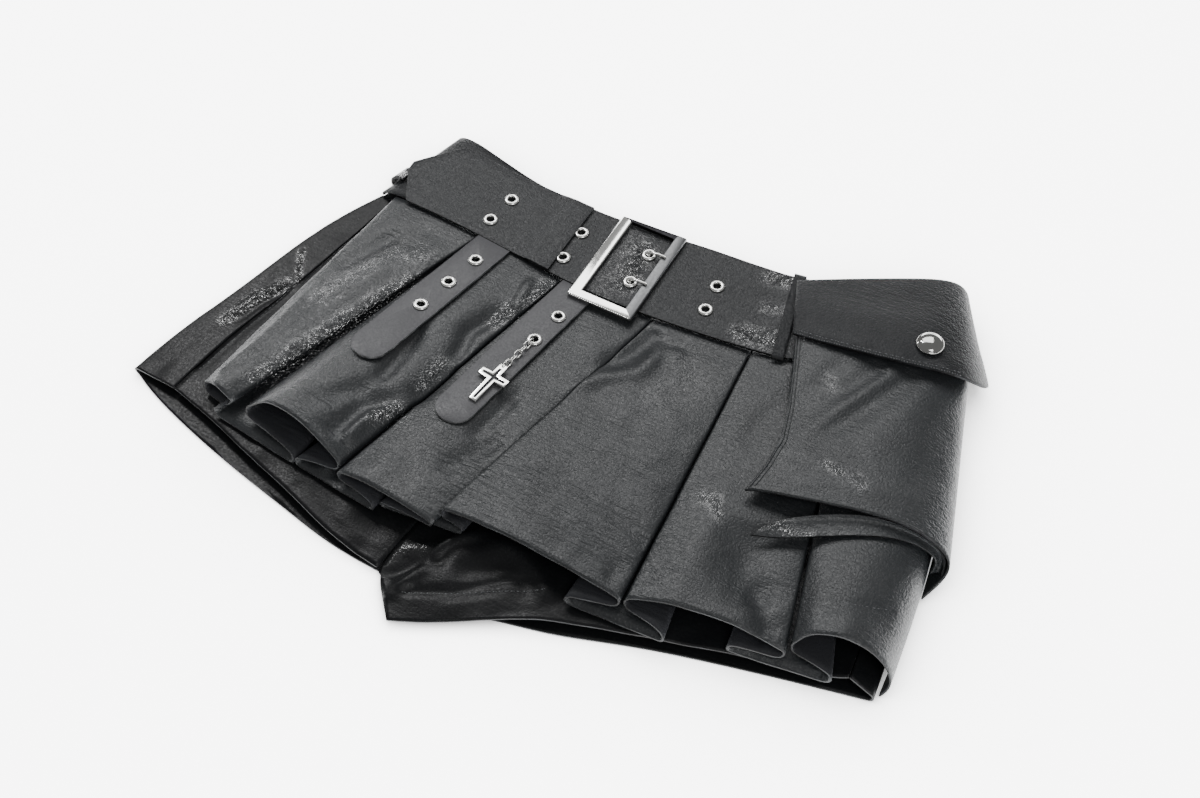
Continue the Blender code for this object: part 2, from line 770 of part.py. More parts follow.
def centre_edge(side, place, crotch_z, middle_z, inseam=None):
    """The centre seam of one panel, and below the crotch the inner edge of its leg."""
    half = side * SEAM_GAP / 2
    waist = place(CENTRE_WAIST_X + half)
    crotch = Spot(CROTCH[0] + half, CROTCH[1], crotch_z)
    middle = Spot((waist.x + crotch.x) / 2, (waist.y + crotch.y) / 2, middle_z)
    last = CROTCH_ROW / SHORTS_ROWS if inseam else 1.0
    stops = [(0.0, waist), (last / 2, middle), (last, crotch)]
    if inseam:
        stops.append((1.0, inseam))

    def at(share):
        for (s0, p0), (s1, p1) in zip(stops, stops[1:]):
            if share <= s1 + 1e-9:
                return mix_all(p0, p1, (share - s0) / (s1 - s0))
        return stops[-1][1]

    return at


def shorts_front(seam_waist_x, seam, hem, centre):
    """A front panel from its side seam to the centre seam, with the cloth's raised creases."""
    side = [below_band_front(seam_waist_x)] + seam
    hem = hem + [Spot(*centre(1.0))]
    rows = patch(
        lambda s: below_band_front(mix(seam_waist_x, centre(0)[0], s)),
        lambda s: part_way(hem, s),
        lambda t: part_way(side, t),
        centre,
        SHORTS_COLUMNS,
        SHORTS_ROWS,
    )
    return [[(x, y, z + ridge_rise(x, y)) for x, y, z in row] for row in rows]


def shorts_back(centre, hem, fold, seam, radius, side):
    """A back panel: flat below, round the side fold, and up to the front's side seam."""
    hem = [Spot(*centre(1.0))] + hem
    edge = [below_band_back(fold[0][0])] + [Spot(x, y, FLOOR_Z) for x, y in fold[1:]]
    floor = patch(
        lambda s: below_band_back(mix(centre(0)[0], edge[0].x, s)),
        lambda s: part_way(hem, s),
        centre,
        lambda t: part_way(edge, t),
        BACK_COLUMNS,
        SHORTS_ROWS,
    )
    rows = []
    for index, row in enumerate(floor):
        share = index / SHORTS_ROWS
        turn_radius = mix(FOLD_RADIUS_WAIST, radius, share)
        high = FLOOR_Z + 2 * turn_radius
        x, y, _ = row[-1]
        turn = half_turn(x, FLOOR_Z, high, side * turn_radius)
        seam_x, seam_y, seam_z = seam[index]
        end = (seam_x + side * SIDE_SEAM_GAP, seam_y, seam_z)
        strip = [mix_all((x, y, high), end, i / STRIP_COLUMNS) for i in range(1, STRIP_COLUMNS + 1)]
        rows.append(row + [(px, y, pz) for px, pz in turn[1:]] + strip)
    return rows


def build_shorts(group):
    right_front = shorts_front(
        RIGHT_SEAM_WAIST_X,
        RIGHT_SEAM_FRONT,
        RIGHT_HEM_FRONT,
        centre_edge(-1, below_band_front, CROTCH_Z, CENTRE_MIDDLE_Z),
    )
    left_front = shorts_front(
        LEFT_SEAM_WAIST_X,
        LEFT_SEAM_FRONT,
        LEFT_HEM_FRONT[::-1],
        centre_edge(1, below_band_front, CROTCH_Z, CENTRE_MIDDLE_Z, LEFT_INSEAM),
    )
    right_back = shorts_back(
        centre_edge(-1, below_band_back, FLOOR_Z, FLOOR_Z),
        RIGHT_HEM_BACK,
        RIGHT_FOLD,
        [row[0] for row in right_front],
        FOLD_RADIUS_RIGHT_HEM,
        -1,
    )
    left_back = shorts_back(
        centre_edge(1, below_band_back, FLOOR_Z, FLOOR_Z, LEFT_HEM_BACK[0]),
        LEFT_HEM_BACK[1:],
        LEFT_FOLD,
        [row[0] for row in left_front],
        FOLD_RADIUS_LEFT_HEM,
        1,
    )
    return [
        cloth("shorts_front_right", right_front, CLOTH, SHORTS_LEATHER, group),
        cloth("shorts_front_left", left_front, CLOTH, SHORTS_LEATHER, group),
        cloth("shorts_back_right", right_back, CLOTH, SHORTS_LEATHER, group),
        cloth("shorts_back_left", left_back, CLOTH, SHORTS_LEATHER, group),
    ]


# ---------------------------------------------------------------- eyelets
def frame_at(point, down_way, normal):
    """A frame whose Y runs up the strap and whose Z stands out of its surface."""
    z = normal.normalized()
    y = (-down_way - z * (-down_way).dot(z)).normalized()
    x = y.cross(z)
    frame = Matrix((x, y, z)).transposed().to_4x4()
    frame.translation = point * MM
    return frame


def add_eyelet(name, frame, group):
    """A ring with its barrel in the strap's hole and its flange on the strap's face."""
    profile = [
        (EYELET_BORE, EYELET_RISE * 0.8),
        (mix(EYELET_BORE, EYELET_FLANGE, 0.45), EYELET_RISE),
        (EYELET_FLANGE, EYELET_RISE * 0.6),
        (EYELET_FLANGE, REST_GAP),
        (EYELET_BARREL, REST_GAP),
        (EYELET_BARREL, REST_GAP - STRAP),
        (EYELET_BORE, REST_GAP - STRAP),
    ]
    part = turned(name, profile, EYELET_SIDES, STEEL, group)
    part.matrix_world = frame
    return part


# ---------------------------------------------------------------- belt
def tail_point(x, across):
    """The tail lies level on the band, and steps up on to the main belt where they lap."""
    place = band_place(x, across)
    x, y, z = band_point(place, across)
    level = mix(TAIL_END_Z, z + BELT_LIFT, smooth_share(x, *TAIL_LEVEL_X))
    climb = (STRAP + REST_GAP) * smooth_share(x, *TAIL_LAP)
    return (x, y, max(level, z + BELT_LIFT) + climb)


def build_belt(group, cutters):
    shares = [mix(BELT_LOW, BELT_TOP, i / BAND_COLUMNS) for i in range(BAND_COLUMNS + 1)]
    start, end = (band_place(x, 0.5) for x in BELT_MAIN_X)
    places = [mix(start, end, i / MAIN_COLUMNS) for i in range(MAIN_COLUMNS + 1)]
    main_rows = [[band_point(place, share, BELT_LIFT) for share in shares] for place in places]
    straps = {"belt_main": cloth("belt_main", main_rows, STRAP, BELT_LEATHER, group)}
    tail_rows = []
    for column in range(TAIL_COLUMNS + 1):
        row = []
        for step in range(2 * BAND_COLUMNS + 1):
            share = step / (2 * BAND_COLUMNS)
            x = mix(read_off(TAIL_END, share), BELT_TAIL_EDGE_X, column / TAIL_COLUMNS)
            top = mix(TAIL_TOP, BELT_TOP, smooth_share(x, TAIL_END[0][1], TAIL_FULL_X))
            row.append(tail_point(x, mix(BELT_LOW, top, share)))
        tail_rows.append(row)
    straps["belt_tail"] = cloth("belt_tail", tail_rows, STRAP, BELT_LEATHER, group)
    frames = {"belt_main": [], "belt_tail": []}
    eyelets = []
    for number, pair in enumerate(BELT_PAIRS, start=1):
        for side, y in (("high", pair.y_high), ("low", pair.y_low)):
            place = band_place(pair.x, 0.5)
            low, top = Vector(band_point(place, 0)), Vector(band_point(place, 1))
            across = (y - low.y) / (top.y - low.y)
            here = Vector(band_point(place, across, BELT_LIFT))
            if pair.strap == "belt_tail":
                here.z = tail_point(here.x, across)[2]
            ahead = Vector(band_point(place + 0.05, across, BELT_LIFT)) - here
            ahead.z = 0 if pair.strap == "belt_tail" else ahead.z
            normal = (low - top).cross(ahead).normalized()
            frame = frame_at(here + normal * (STRAP / 2), low - top, normal)
            frames[pair.strap].append(frame)
            eyelets.append(add_eyelet(f"eyelet_belt_{number}_{side}", frame, group))
    for name, strap in straps.items():
        cut(strap, plugs(name + "_holes", frames[name], EYELET_HOLE, cutters))
    return list(straps.values()), eyelets


def clip_covered_eyelets(eyelets, cutters):
    """The tail's edge lies over the flanges of the second pair, which are cut back to it."""
    size = 4 * EYELET_FLANGE
    for eyelet in eyelets:
        if not eyelet.name.startswith("eyelet_belt_2"):
            continue
        middle = eyelet.matrix_world.translation / MM
        corner = Vector((BELT_TAIL_EDGE_X + REST_GAP, middle.y, middle.z + REST_GAP / 2))
        place = Matrix.Translation((corner + Vector((-size / 2, 0, size / 2))) * MM)
        work = bmesh.new()
        bmesh.ops.create_cube(work, size=size * MM, matrix=place)
        mesh = bpy.data.meshes.new(eyelet.name + "_clip")
        work.to_mesh(mesh)
        work.free()
        cut(eyelet, add_cutter(mesh.name, mesh, cutters))


def rectangle(middle, size, grow):
    corners = ((-1, -1), (1, -1), (1, 1), (-1, 1))
    half = (size[0] / 2 + grow, size[1] / 2 + grow)
    return [(middle[0] + sx * half[0], middle[1] + sy * half[1]) for sx, sy in corners]


def build_buckle(group):
    belt_top = band_point(band_place(0, 0.5), 0.5, BELT_LIFT)[2] + STRAP / 2
    half = BUCKLE_THICKNESS / 2
    outlines = [
        rectangle(BUCKLE_MIDDLE, BUCKLE_OUTER, -BUCKLE_EDGE),
        rectangle(BUCKLE_WINDOW_MIDDLE, BUCKLE_WINDOW, BUCKLE_EDGE),
    ]
    curve = plate_curve("buckle_outline", outlines, BUCKLE_THICKNESS, BUCKLE_EDGE)
    height = belt_top + BUCKLE_LIFT + half
    frame = curve_part("buckle_frame", curve, STEEL, group)
    frame.location.z = height * MM
    prongs = []
    for index, y in enumerate((BELT_PAIRS[2].y_high, BELT_PAIRS[2].y_low), start=1):
        top = height + half + REST_GAP + PRONG_WIRE / 2
        bar = BUCKLE_WINDOW_MIDDLE[0] + BUCKLE_WINDOW[0] / 2
        hole = BELT_PAIRS[2].x + PRONG_PAST_HOLE
        path = [(mix(bar, hole, share), y, top - drop) for share, drop in PRONG_PATH]
        prongs.append(wire_part(f"buckle_prong_{index}", path, PRONG_WIRE, STEEL, group))
    return [frame] + prongs


# ---------------------------------------------------------------- belt loops
def build_loops(group):
    place = band_place(LEFT_LOOP_X, 0.5)
    left = []
    for across, lift in LEFT_LOOP_PATH:
        x, y, z = band_point(place, across, lift)
        sides = [side * LOOP_WIDTH / 2 for side in (-1, 0, 1)]
        left.append([(x + side, y + side * LEFT_LOOP_SLANT, z) for side in sides])
    right = []
    for x, z in RIGHT_LOOP_PATH:
        sides = [side * RIGHT_LOOP_WIDTH / 2 for side in (-1, 0, 1)]
        right.append([(x + side * RIGHT_LOOP_SLANT, RIGHT_LOOP_Y + side, z) for side in sides])
    return [
        cloth("belt_loop_left", left, CLOTH, BELT_LEATHER, group),
        cloth("belt_loop_right", right, CLOTH, BELT_LEATHER, group),
    ]


# ---------------------------------------------------------------- tabs
def taut(heights):
    """A stiff strap's line over the heights below it: it bridges the hollows."""
    hull = []
    for place, height in enumerate(heights):
        while len(hull) > 1:
            (p0, h0), (p1, h1) = hull[-2], hull[-1]
            if (h1 - h0) * (place - p0) > (height - h0) * (p1 - p0):
                break
            hull.pop()
        hull.append((place, height))
    level = [read_off(hull, place) for place in range(len(heights))]
    eased = [level[0]] + [sum(level[i - 1 : i + 2]) / 3 for i in range(1, len(level) - 1)] + [level[-1]]
    return [max(pair) for pair in zip(level, eased)]


def tab_axes(tab):
    top = Vector((tab.top_x, tab.top_y))
    run = Vector((tab.tip_x, tab.tip_y)) - top
    down = run.normalized()
    return top, down, Vector((-down.y, down.x)), run.length


def tab_half_width(length, distance):
    """Half the tab's width at a distance down it: its tip is a half round."""
    radius = TAB_WIDTH / 2
    past = distance - (length - radius)
    return radius if past <= 0 else math.sqrt(radius**2 - past**2)


def tab_distances(length):
    radius = TAB_WIDTH / 2
    body = [(length - radius) * i / TAB_ROWS for i in range(TAB_ROWS + 1)]
    angles = [QUARTER * i / (TAB_TIP_ROWS + 0.25) for i in range(1, TAB_TIP_ROWS + 1)]
    return body + [length - radius + radius * math.sin(a) for a in angles]


def tab_start(tab, side):
    """How far down the tab's own line the belt's lower edge crosses one of its sides."""
    top, down, across, _ = tab_axes(tab)
    distance = 0.0
    for _ in range(4):
        spot = top + down * distance + across * side
        edge = band_point(band_place(spot.x, BELT_LOW), BELT_LOW)[1] - SEAM_GAP
        distance += (spot.y - edge) / -down.y
    return distance


def build_tab(tab, tree, group, cutters):
    top, down, across, length = tab_axes(tab)
    sides = [2 * column / TAB_COLUMNS - 1 for column in range(TAB_COLUMNS + 1)]
    distances = tab_distances(length)
    below = []
    for distance in distances:
        half = tab_half_width(length, distance)
        spots = [top + down * distance + across * half * side for side in sides]
        below.append(max(highest_near(tree, spot.x, spot.y, 2.5) for spot in spots))
    profile = [
        (distance, level + REST_GAP + STRAP / 2 + tab.lift * smooth_share(distance, 0, tab.eyelets[0]))
        for distance, level in zip(distances, taut(below))
    ]
    rows = []
    for index, distance in enumerate(distances):
        half = tab_half_width(length, distance)
        row = []
        for side in sides:
            start = tab_start(tab, half * side) * (1 - distance / length)
            spot = top + down * (distance + start) + across * half * side
            row.append((spot.x, spot.y, read_off(profile, distance + start)))
        rows.append(row)
    part = cloth(tab.name, rows, STRAP, TAB_LEATHER, group)
    frames = [strap_frame(tab, profile, distance) for distance in tab.eyelets]
    for number, frame in enumerate(frames, start=1):
        add_eyelet(f"eyelet_{tab.name}_{number}", frame, group)
    cut(part, plugs(tab.name + "_holes", frames, EYELET_HOLE, cutters))
    return part, profile


def strap_frame(tab, profile, distance):
    """A frame on the tab's top surface at a distance down it."""
    top, down, across, _ = tab_axes(tab)
    step = 4.0
    rise = read_off(profile, distance + step) - read_off(profile, distance - step)
    way = Vector((down.x, down.y, rise / (2 * step))).normalized()
    normal = across.to_3d().cross(way)
    normal = normal if normal.z > 0 else -normal
    spot = top + down * distance + across * tab.eyelet_side
    here = Vector((spot.x, spot.y, read_off(profile, distance)))
    return frame_at(here + normal * (STRAP / 2), way, normal)


# ---------------------------------------------------------------- charm
def oval(length, width, count):
    angles = [2 * math.pi * step / count for step in range(count)]
    return [(width / 2 * math.cos(a), length / 2 * math.sin(a)) for a in angles]


def build_charm(tab, tab_part, profile, group, cutters):
    """A jump ring through the tab, links end to end, a ring and a flat cross."""
    eyelet = tab.eyelets[-1]

    def placed(distance, points):
        frame = strap_frame(tab, profile, distance)
        return [frame @ (Vector(point) * MM) / MM for point in points]

    ring_z = RING_RISE - STRAP / 2
    ring = [(0, y, ring_z + z) for y, z in oval(2 * RING_RADIUS, 2 * RING_RADIUS, RING_SIDES)]
    wire_part("charm_jump_ring", placed(eyelet + RING_AHEAD, ring), RING_WIRE, STEEL, group, True)
    jump_axis = strap_frame(tab, profile, eyelet + RING_AHEAD) @ Matrix.Translation((0, 0, ring_z * MM))
    crossings = [RING_RISE + side * STRAP / 2 for side in (-1, 1)]
    below = sum(math.sqrt(RING_RADIUS**2 - crossing**2) for crossing in crossings) / 2
    hole = strap_frame(tab, profile, eyelet + RING_AHEAD + below)
    cut(tab_part, plugs(tab.name + "_ring_hole", [hole], RING_HOLE, cutters), "ring_hole")

    inside = RING_RADIUS - (RING_WIRE + LINK_WIRE) / 2 - LINK_PLAY
    start = eyelet + RING_AHEAD + math.sqrt(inside**2 - (LINK_LIFT - ring_z) ** 2)
    pitch = LINK_LENGTH - LINK_WIRE - LINK_PLAY
    for number in range(LINK_COUNT):
        turn = math.radians(45 if number % 2 else -45)
        loop = [
            (across * math.cos(turn), y, LINK_LIFT + across * math.sin(turn))
            for across, y in oval(LINK_LENGTH, LINK_WIDTH, LINK_SIDES)
        ]
        middle = start + number * pitch + LINK_LENGTH / 2
        link = wire_part(f"charm_link_{number + 1}", placed(middle, loop), LINK_WIRE, STEEL, group, True)
        move_origin(link, jump_axis)

    ring_lift = CROSS_RING_RADIUS + LINK_WIRE / 2 + REST_GAP
    inside = CROSS_RING_RADIUS - LINK_WIRE - LINK_PLAY
    ring_middle = middle + LINK_LENGTH / 2 + math.sqrt(inside**2 - (ring_lift - LINK_LIFT) ** 2)
    loop = [
        (0, y, ring_lift + z)
        for z, y in oval(2 * CROSS_RING_RADIUS, 2 * CROSS_RING_RADIUS, RING_SIDES)
    ]
    cross_ring = wire_part("charm_cross_ring", placed(ring_middle, loop), LINK_WIRE, STEEL, group, True)
    move_origin(cross_ring, jump_axis)
    cross_top = ring_middle + CROSS_RING_RADIUS - CROSS_HOLE_DOWN
    cross = build_cross(strap_frame(tab, profile, cross_top), ring_lift, group)
    ring_place = Matrix.Translation((0, 0, ring_lift * MM))
    move_origin(cross, strap_frame(tab, profile, ring_middle) @ ring_place)


def build_cross(frame, lift, group):
    """The cross hangs from its ring by a hole at its top, and its foot rests on the tab."""
    half, arm = CROSS_ARM / 2, CROSS_SPAN / 2
    foot, upper = -CROSS_LENGTH, -CROSS_ARM_DOWN
    lower = upper - CROSS_ARM
    outline = [
        (half, 0), (half, upper), (arm, upper), (arm, lower), (half, lower), (half, foot),
        (-half, foot), (-half, lower), (-arm, lower), (-arm, upper), (-half, upper), (-half, 0),
    ]
    hole = [(x, y - CROSS_HOLE_DOWN) for x, y in oval(2 * CROSS_HOLE, 2 * CROSS_HOLE, HOLE_SIDES)]
    curve = plate_curve("cross_outline", [outline, hole], CROSS_THICKNESS)
    part = curve_part("charm_cross", curve, STEEL, group)
    foot_lift = REST_GAP + CROSS_THICKNESS / 2
    slope = math.asin((lift - foot_lift) / (CROSS_LENGTH - CROSS_HOLE_DOWN))
    hang = Matrix.Translation(Vector((0, 0, lift)) * MM)
    part.matrix_world = frame @ hang @ Matrix.Rotation(slope, 4, "X")
    return part


# ---------------------------------------------------------------- pocket
def pocket_spot(across, down):
    x = POCKET_CORNER[0] + across * math.cos(POCKET_TURN) + down * math.sin(POCKET_TURN)
    y = POCKET_CORNER[1] + across * math.sin(POCKET_TURN) - down * math.cos(POCKET_TURN)
    return x, y


def build_pocket(tree, group):
    rows = []
    for step in range(POCKET_ROWS + 1):
        share = step / POCKET_ROWS
        left = read_off(POCKET_LEFT, share)
        row = []
        for index, column in enumerate(POCKET_COLUMNS):
            narrow = mix(POCKET_WIDTH_TOP / POCKET_COLUMNS[-1].across, 1.0, share)
            inward = min(column.share / POCKET_EVEN_SHARE, 1.0)
            across = mix(left, column.across * narrow, inward) - column.curl * share**2
            x, y = pocket_spot(across, mix(POCKET_TOP_DOWN, column.down, share))
            z = mix(column.top_z, column.low_z, share)
            if index < POCKET_TOP_DRAPED:
                z = max(z, highest_near(tree, x, y, 3) + REST_GAP + CLOTH)
            row.append((x, y, z))
        rows.append(row)
    return cloth("pocket_front", rows, CLOTH, LEATHER, group)


def build_gusset(group):
    rows = []
    for step in range(GUSSET_ROWS + 1):
        share = step / GUSSET_ROWS
        sink = GUSSET_SINK * math.sin(math.pi * share)
        row = []
        for index, station in enumerate(GUSSET):
            x, y, z = mix_all(station[:3], station[3:], share)
            depth = sink * smooth_share(index, 0, 3)
            row.append((x, y + depth, z - depth / 2))
        rows.append(row)
    return cloth("pocket_gusset", rows, CLOTH, LEATHER, group)


def build_flap(tree, group):
    rows = []
    for step in range(FLAP_ROWS + 1):
        share = step / FLAP_ROWS
        row = []
        for index, station in enumerate(FLAP):
            x, y, z = mix_all(station[:3], station[3:], share)
            z += FLAP_BOW * math.sin(math.pi * share)
            if index < POCKET_TOP_DRAPED:
                z = max(z, highest_near(tree, x, y, 3) + FLAP_DRAPE)
            row.append((x, y, z))
        rows.append(row)
    return cloth("pocket_flap", rows, STRAP, LEATHER, group)


def build_snap(tree, group):
    """A domed cap seated on the flap."""
    x, y = SNAP_PLACE
    level = highest_near(tree, x, y, SNAP_RADIUS) + REST_GAP
    profile = [(0, SNAP_RISE)]
    for step in range(1, SNAP_STEPS + 1):
        angle = QUARTER * (1 - step / SNAP_STEPS)
        profile.append((SNAP_RADIUS * math.cos(angle), mix(SNAP_RIM, SNAP_RISE, math.sin(angle))))
    profile += [(SNAP_FOOT, 0), (0, 0)]
    part = turned("snap", profile, SNAP_SIDES, STEEL, group, closed=False)
    part.location = Vector((x, y, level)) * MM
    return part


# ---------------------------------------------------------------- the skort
def main():
    clear_scene()
    group = new_collection("skort")
    cutters = new_collection("cutters", hidden=True)
    build_shorts(group)
    skirt = build_skirt(group)
    bands = build_waistband(group)
    build_loops(group)
    straps, eyelets = build_belt(group, cutters)
    clip_covered_eyelets(eyelets, cutters)
    build_buckle(group)
    skirt_tree = surface_of([skirt])
    for tab in TABS:
        part, profile = build_tab(tab, skirt_tree, group, cutters)
        if tab.name == "tab_middle":
            build_charm(tab, part, profile, group, cutters)
    pocket = build_pocket(surface_of([skirt, straps[0]] + bands), group)
    build_gusset(group)
    flap = build_flap(surface_of([pocket, straps[0]] + bands), group)
    build_snap(surface_of([flap]), group)


main()
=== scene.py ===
"""Looks of a pleated faux leather skort that lies flat, with a buckled belt and a bellows pocket.

The cloth shells follow the frame's solids and get their creases, crinkles and cut edges here. The
metal is turned, bent and pressed anew. Sizes are in millimetres up to the meshes, +X is the
wearer's left, +Y runs to the waist and +Z is up.
"""

import logging
import math
from collections.abc import Iterator
from contextlib import contextmanager
from dataclasses import dataclass
from enum import Enum

import bmesh
import bpy
import numpy as np
from mathutils import Matrix, Vector, noise
from mathutils.bvhtree import BVHTree


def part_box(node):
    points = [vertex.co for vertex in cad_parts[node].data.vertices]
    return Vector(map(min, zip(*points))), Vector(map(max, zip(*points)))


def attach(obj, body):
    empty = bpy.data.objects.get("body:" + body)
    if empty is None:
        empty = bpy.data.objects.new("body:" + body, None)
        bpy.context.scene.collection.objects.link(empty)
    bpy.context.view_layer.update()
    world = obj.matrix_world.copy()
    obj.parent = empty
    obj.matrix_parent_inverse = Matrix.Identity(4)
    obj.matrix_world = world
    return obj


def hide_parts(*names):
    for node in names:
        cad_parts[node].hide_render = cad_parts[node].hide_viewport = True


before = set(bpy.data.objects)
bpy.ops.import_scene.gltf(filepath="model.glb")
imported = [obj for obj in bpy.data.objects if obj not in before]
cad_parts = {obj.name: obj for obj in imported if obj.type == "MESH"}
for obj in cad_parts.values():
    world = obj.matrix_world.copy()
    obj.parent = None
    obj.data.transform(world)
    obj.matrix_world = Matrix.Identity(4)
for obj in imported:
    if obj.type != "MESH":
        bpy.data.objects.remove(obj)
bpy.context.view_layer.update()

MM = 0.001
MERGED = 0.003
QUAD_ANGLE = 1.4
LOG = logging.getLogger("skort")

Point = tuple[float, float]
Piece = bpy.types.Object
Material = bpy.types.Material
Tree = bpy.types.NodeTree
Node = bpy.types.Node
Socket = bpy.types.NodeSocket
Work = bmesh.types.BMesh


class Mark(Enum):
    """The per-point amounts that the leathers read."""

    CRINKLE = "crinkle"
    STRIPE = "stripe"


class Held(Enum):
    """How a sheet lies."""

    LAID = "laid"
    FOLDED = "folded"


# ---------------------------------------------------------------- finishes
def linear(colour: str) -> tuple[float, float, float, float]:
    """Turns an sRGB hex colour to linear.

    Args:
        colour: The colour as "#rrggbb".

    Returns:
        Linear red, green, blue and an alpha of 1.
    """
    channels = [int(colour[i : i + 2], 16) / 255 for i in (1, 3, 5)]
    bent = [c / 12.92 if c <= 0.04045 else ((c + 0.055) / 1.055) ** 2.4 for c in channels]
    return (bent[0], bent[1], bent[2], 1.0)


def add_node(tree: Tree, kind: str, settings: dict | None = None, links: dict | None = None) -> Node:
    """Adds a node with its settings and its links.

    Args:
        tree: The material's node tree.
        kind: Blender's name for the node, after "ShaderNode".
        settings: Properties by name, and socket values under "input:NAME or number".
        links: The output socket that feeds each input, by the input's name or number.

    Returns:
        The new node.
    """
    node = tree.nodes.new("ShaderNode" + kind)
    for key, value in (settings or {}).items():
        if key.startswith("input:"):
            name = key[6:]
            node.inputs[int(name) if name.isdigit() else name].default_value = value
        else:
            setattr(node, key, value)
    for key, socket in (links or {}).items():
        tree.links.new(socket, node.inputs[key])
    return node


def noise_map(tree: Tree, place: Socket, size: float, detail: float, **more: float) -> Socket:
    """Adds a noise of soft blobs.

    Args:
        tree: The material's node tree.
        place: The coordinates that it reads.
        size: About how wide a blob is, in millimetres.
        detail: How many finer layers it has.
        more: Other socket values by name.

    Returns:
        The noise from 0 to 1.
    """
    settings = {"input:Scale": 1 / (size * MM), "input:Detail": detail}
    settings |= {"input:" + name: value for name, value in more.items()}
    return add_node(tree, "TexNoise", settings, {"Vector": place}).outputs[0]


def remap(tree: Tree, value: Socket, start: Point, end: Point = (0.0, 1.0)) -> Socket:
    """Turns one range of a value into another, and holds it there."""
    names = ("From Min", "From Max", "To Min", "To Max")
    settings = {"input:" + name: number for name, number in zip(names, start + end)}
    return add_node(tree, "MapRange", settings, {"Value": value}).outputs[0]


def product(tree: Tree, first: Socket, second: Socket) -> Socket:
    """Multiplies two values."""
    return add_node(tree, "Math", {"operation": "MULTIPLY"}, {0: first, 1: second}).outputs[0]


def bump(
    tree: Tree, height: Socket, depth: float, below: Socket | None = None, strength: float | Socket = 1.0
) -> Socket:
    """Adds relief to the surface.

    Args:
        tree: The material's node tree.
        height: The relief from 0 to 1.
        depth: How deep it goes, in millimetres.
        below: The relief that it lies on.
        strength: How much of it shows.

    Returns:
        The bent normal.
    """
    node = add_node(tree, "Bump", {"input:Distance": depth * MM}, {"Height": height})
    if below:
        tree.links.new(below, node.inputs["Normal"])
    if isinstance(strength, float):
        node.inputs["Strength"].default_value = strength
    else:
        tree.links.new(strength, node.inputs["Strength"])
    return node.outputs[0]


def mix_colours(tree: Tree, share: Socket, first: str, second: str) -> Socket:
    """Mixes two hex colours."""
    settings = {"data_type": "RGBA", "input:6": linear(first), "input:7": linear(second)}
    return add_node(tree, "Mix", settings, {"Factor": share}).outputs[2]


def new_material(name: str, values: dict[str, float | tuple]) -> tuple[Material, Tree, Node, Socket]:
    """Starts a material.

    Args:
        name: The material's name.
        values: What is the same all over the surface, by the shader's input.

    Returns:
        The material, its node tree, its Principled shader and the piece's own coordinates.
    """
    made = bpy.data.materials.new(name)
    made.use_nodes = True
    shader = made.node_tree.nodes["Principled BSDF"]
    for key, value in values.items():
        shader.inputs[key].default_value = value
    return made, made.node_tree, shader, add_node(made.node_tree, "TexCoord").outputs["Object"]


def wire_up(tree: Tree, shader: Node, links: dict[str, Socket]) -> None:
    """Feeds the shader's inputs, by their names."""
    for key, socket in links.items():
        tree.links.new(socket, shader.inputs[key])


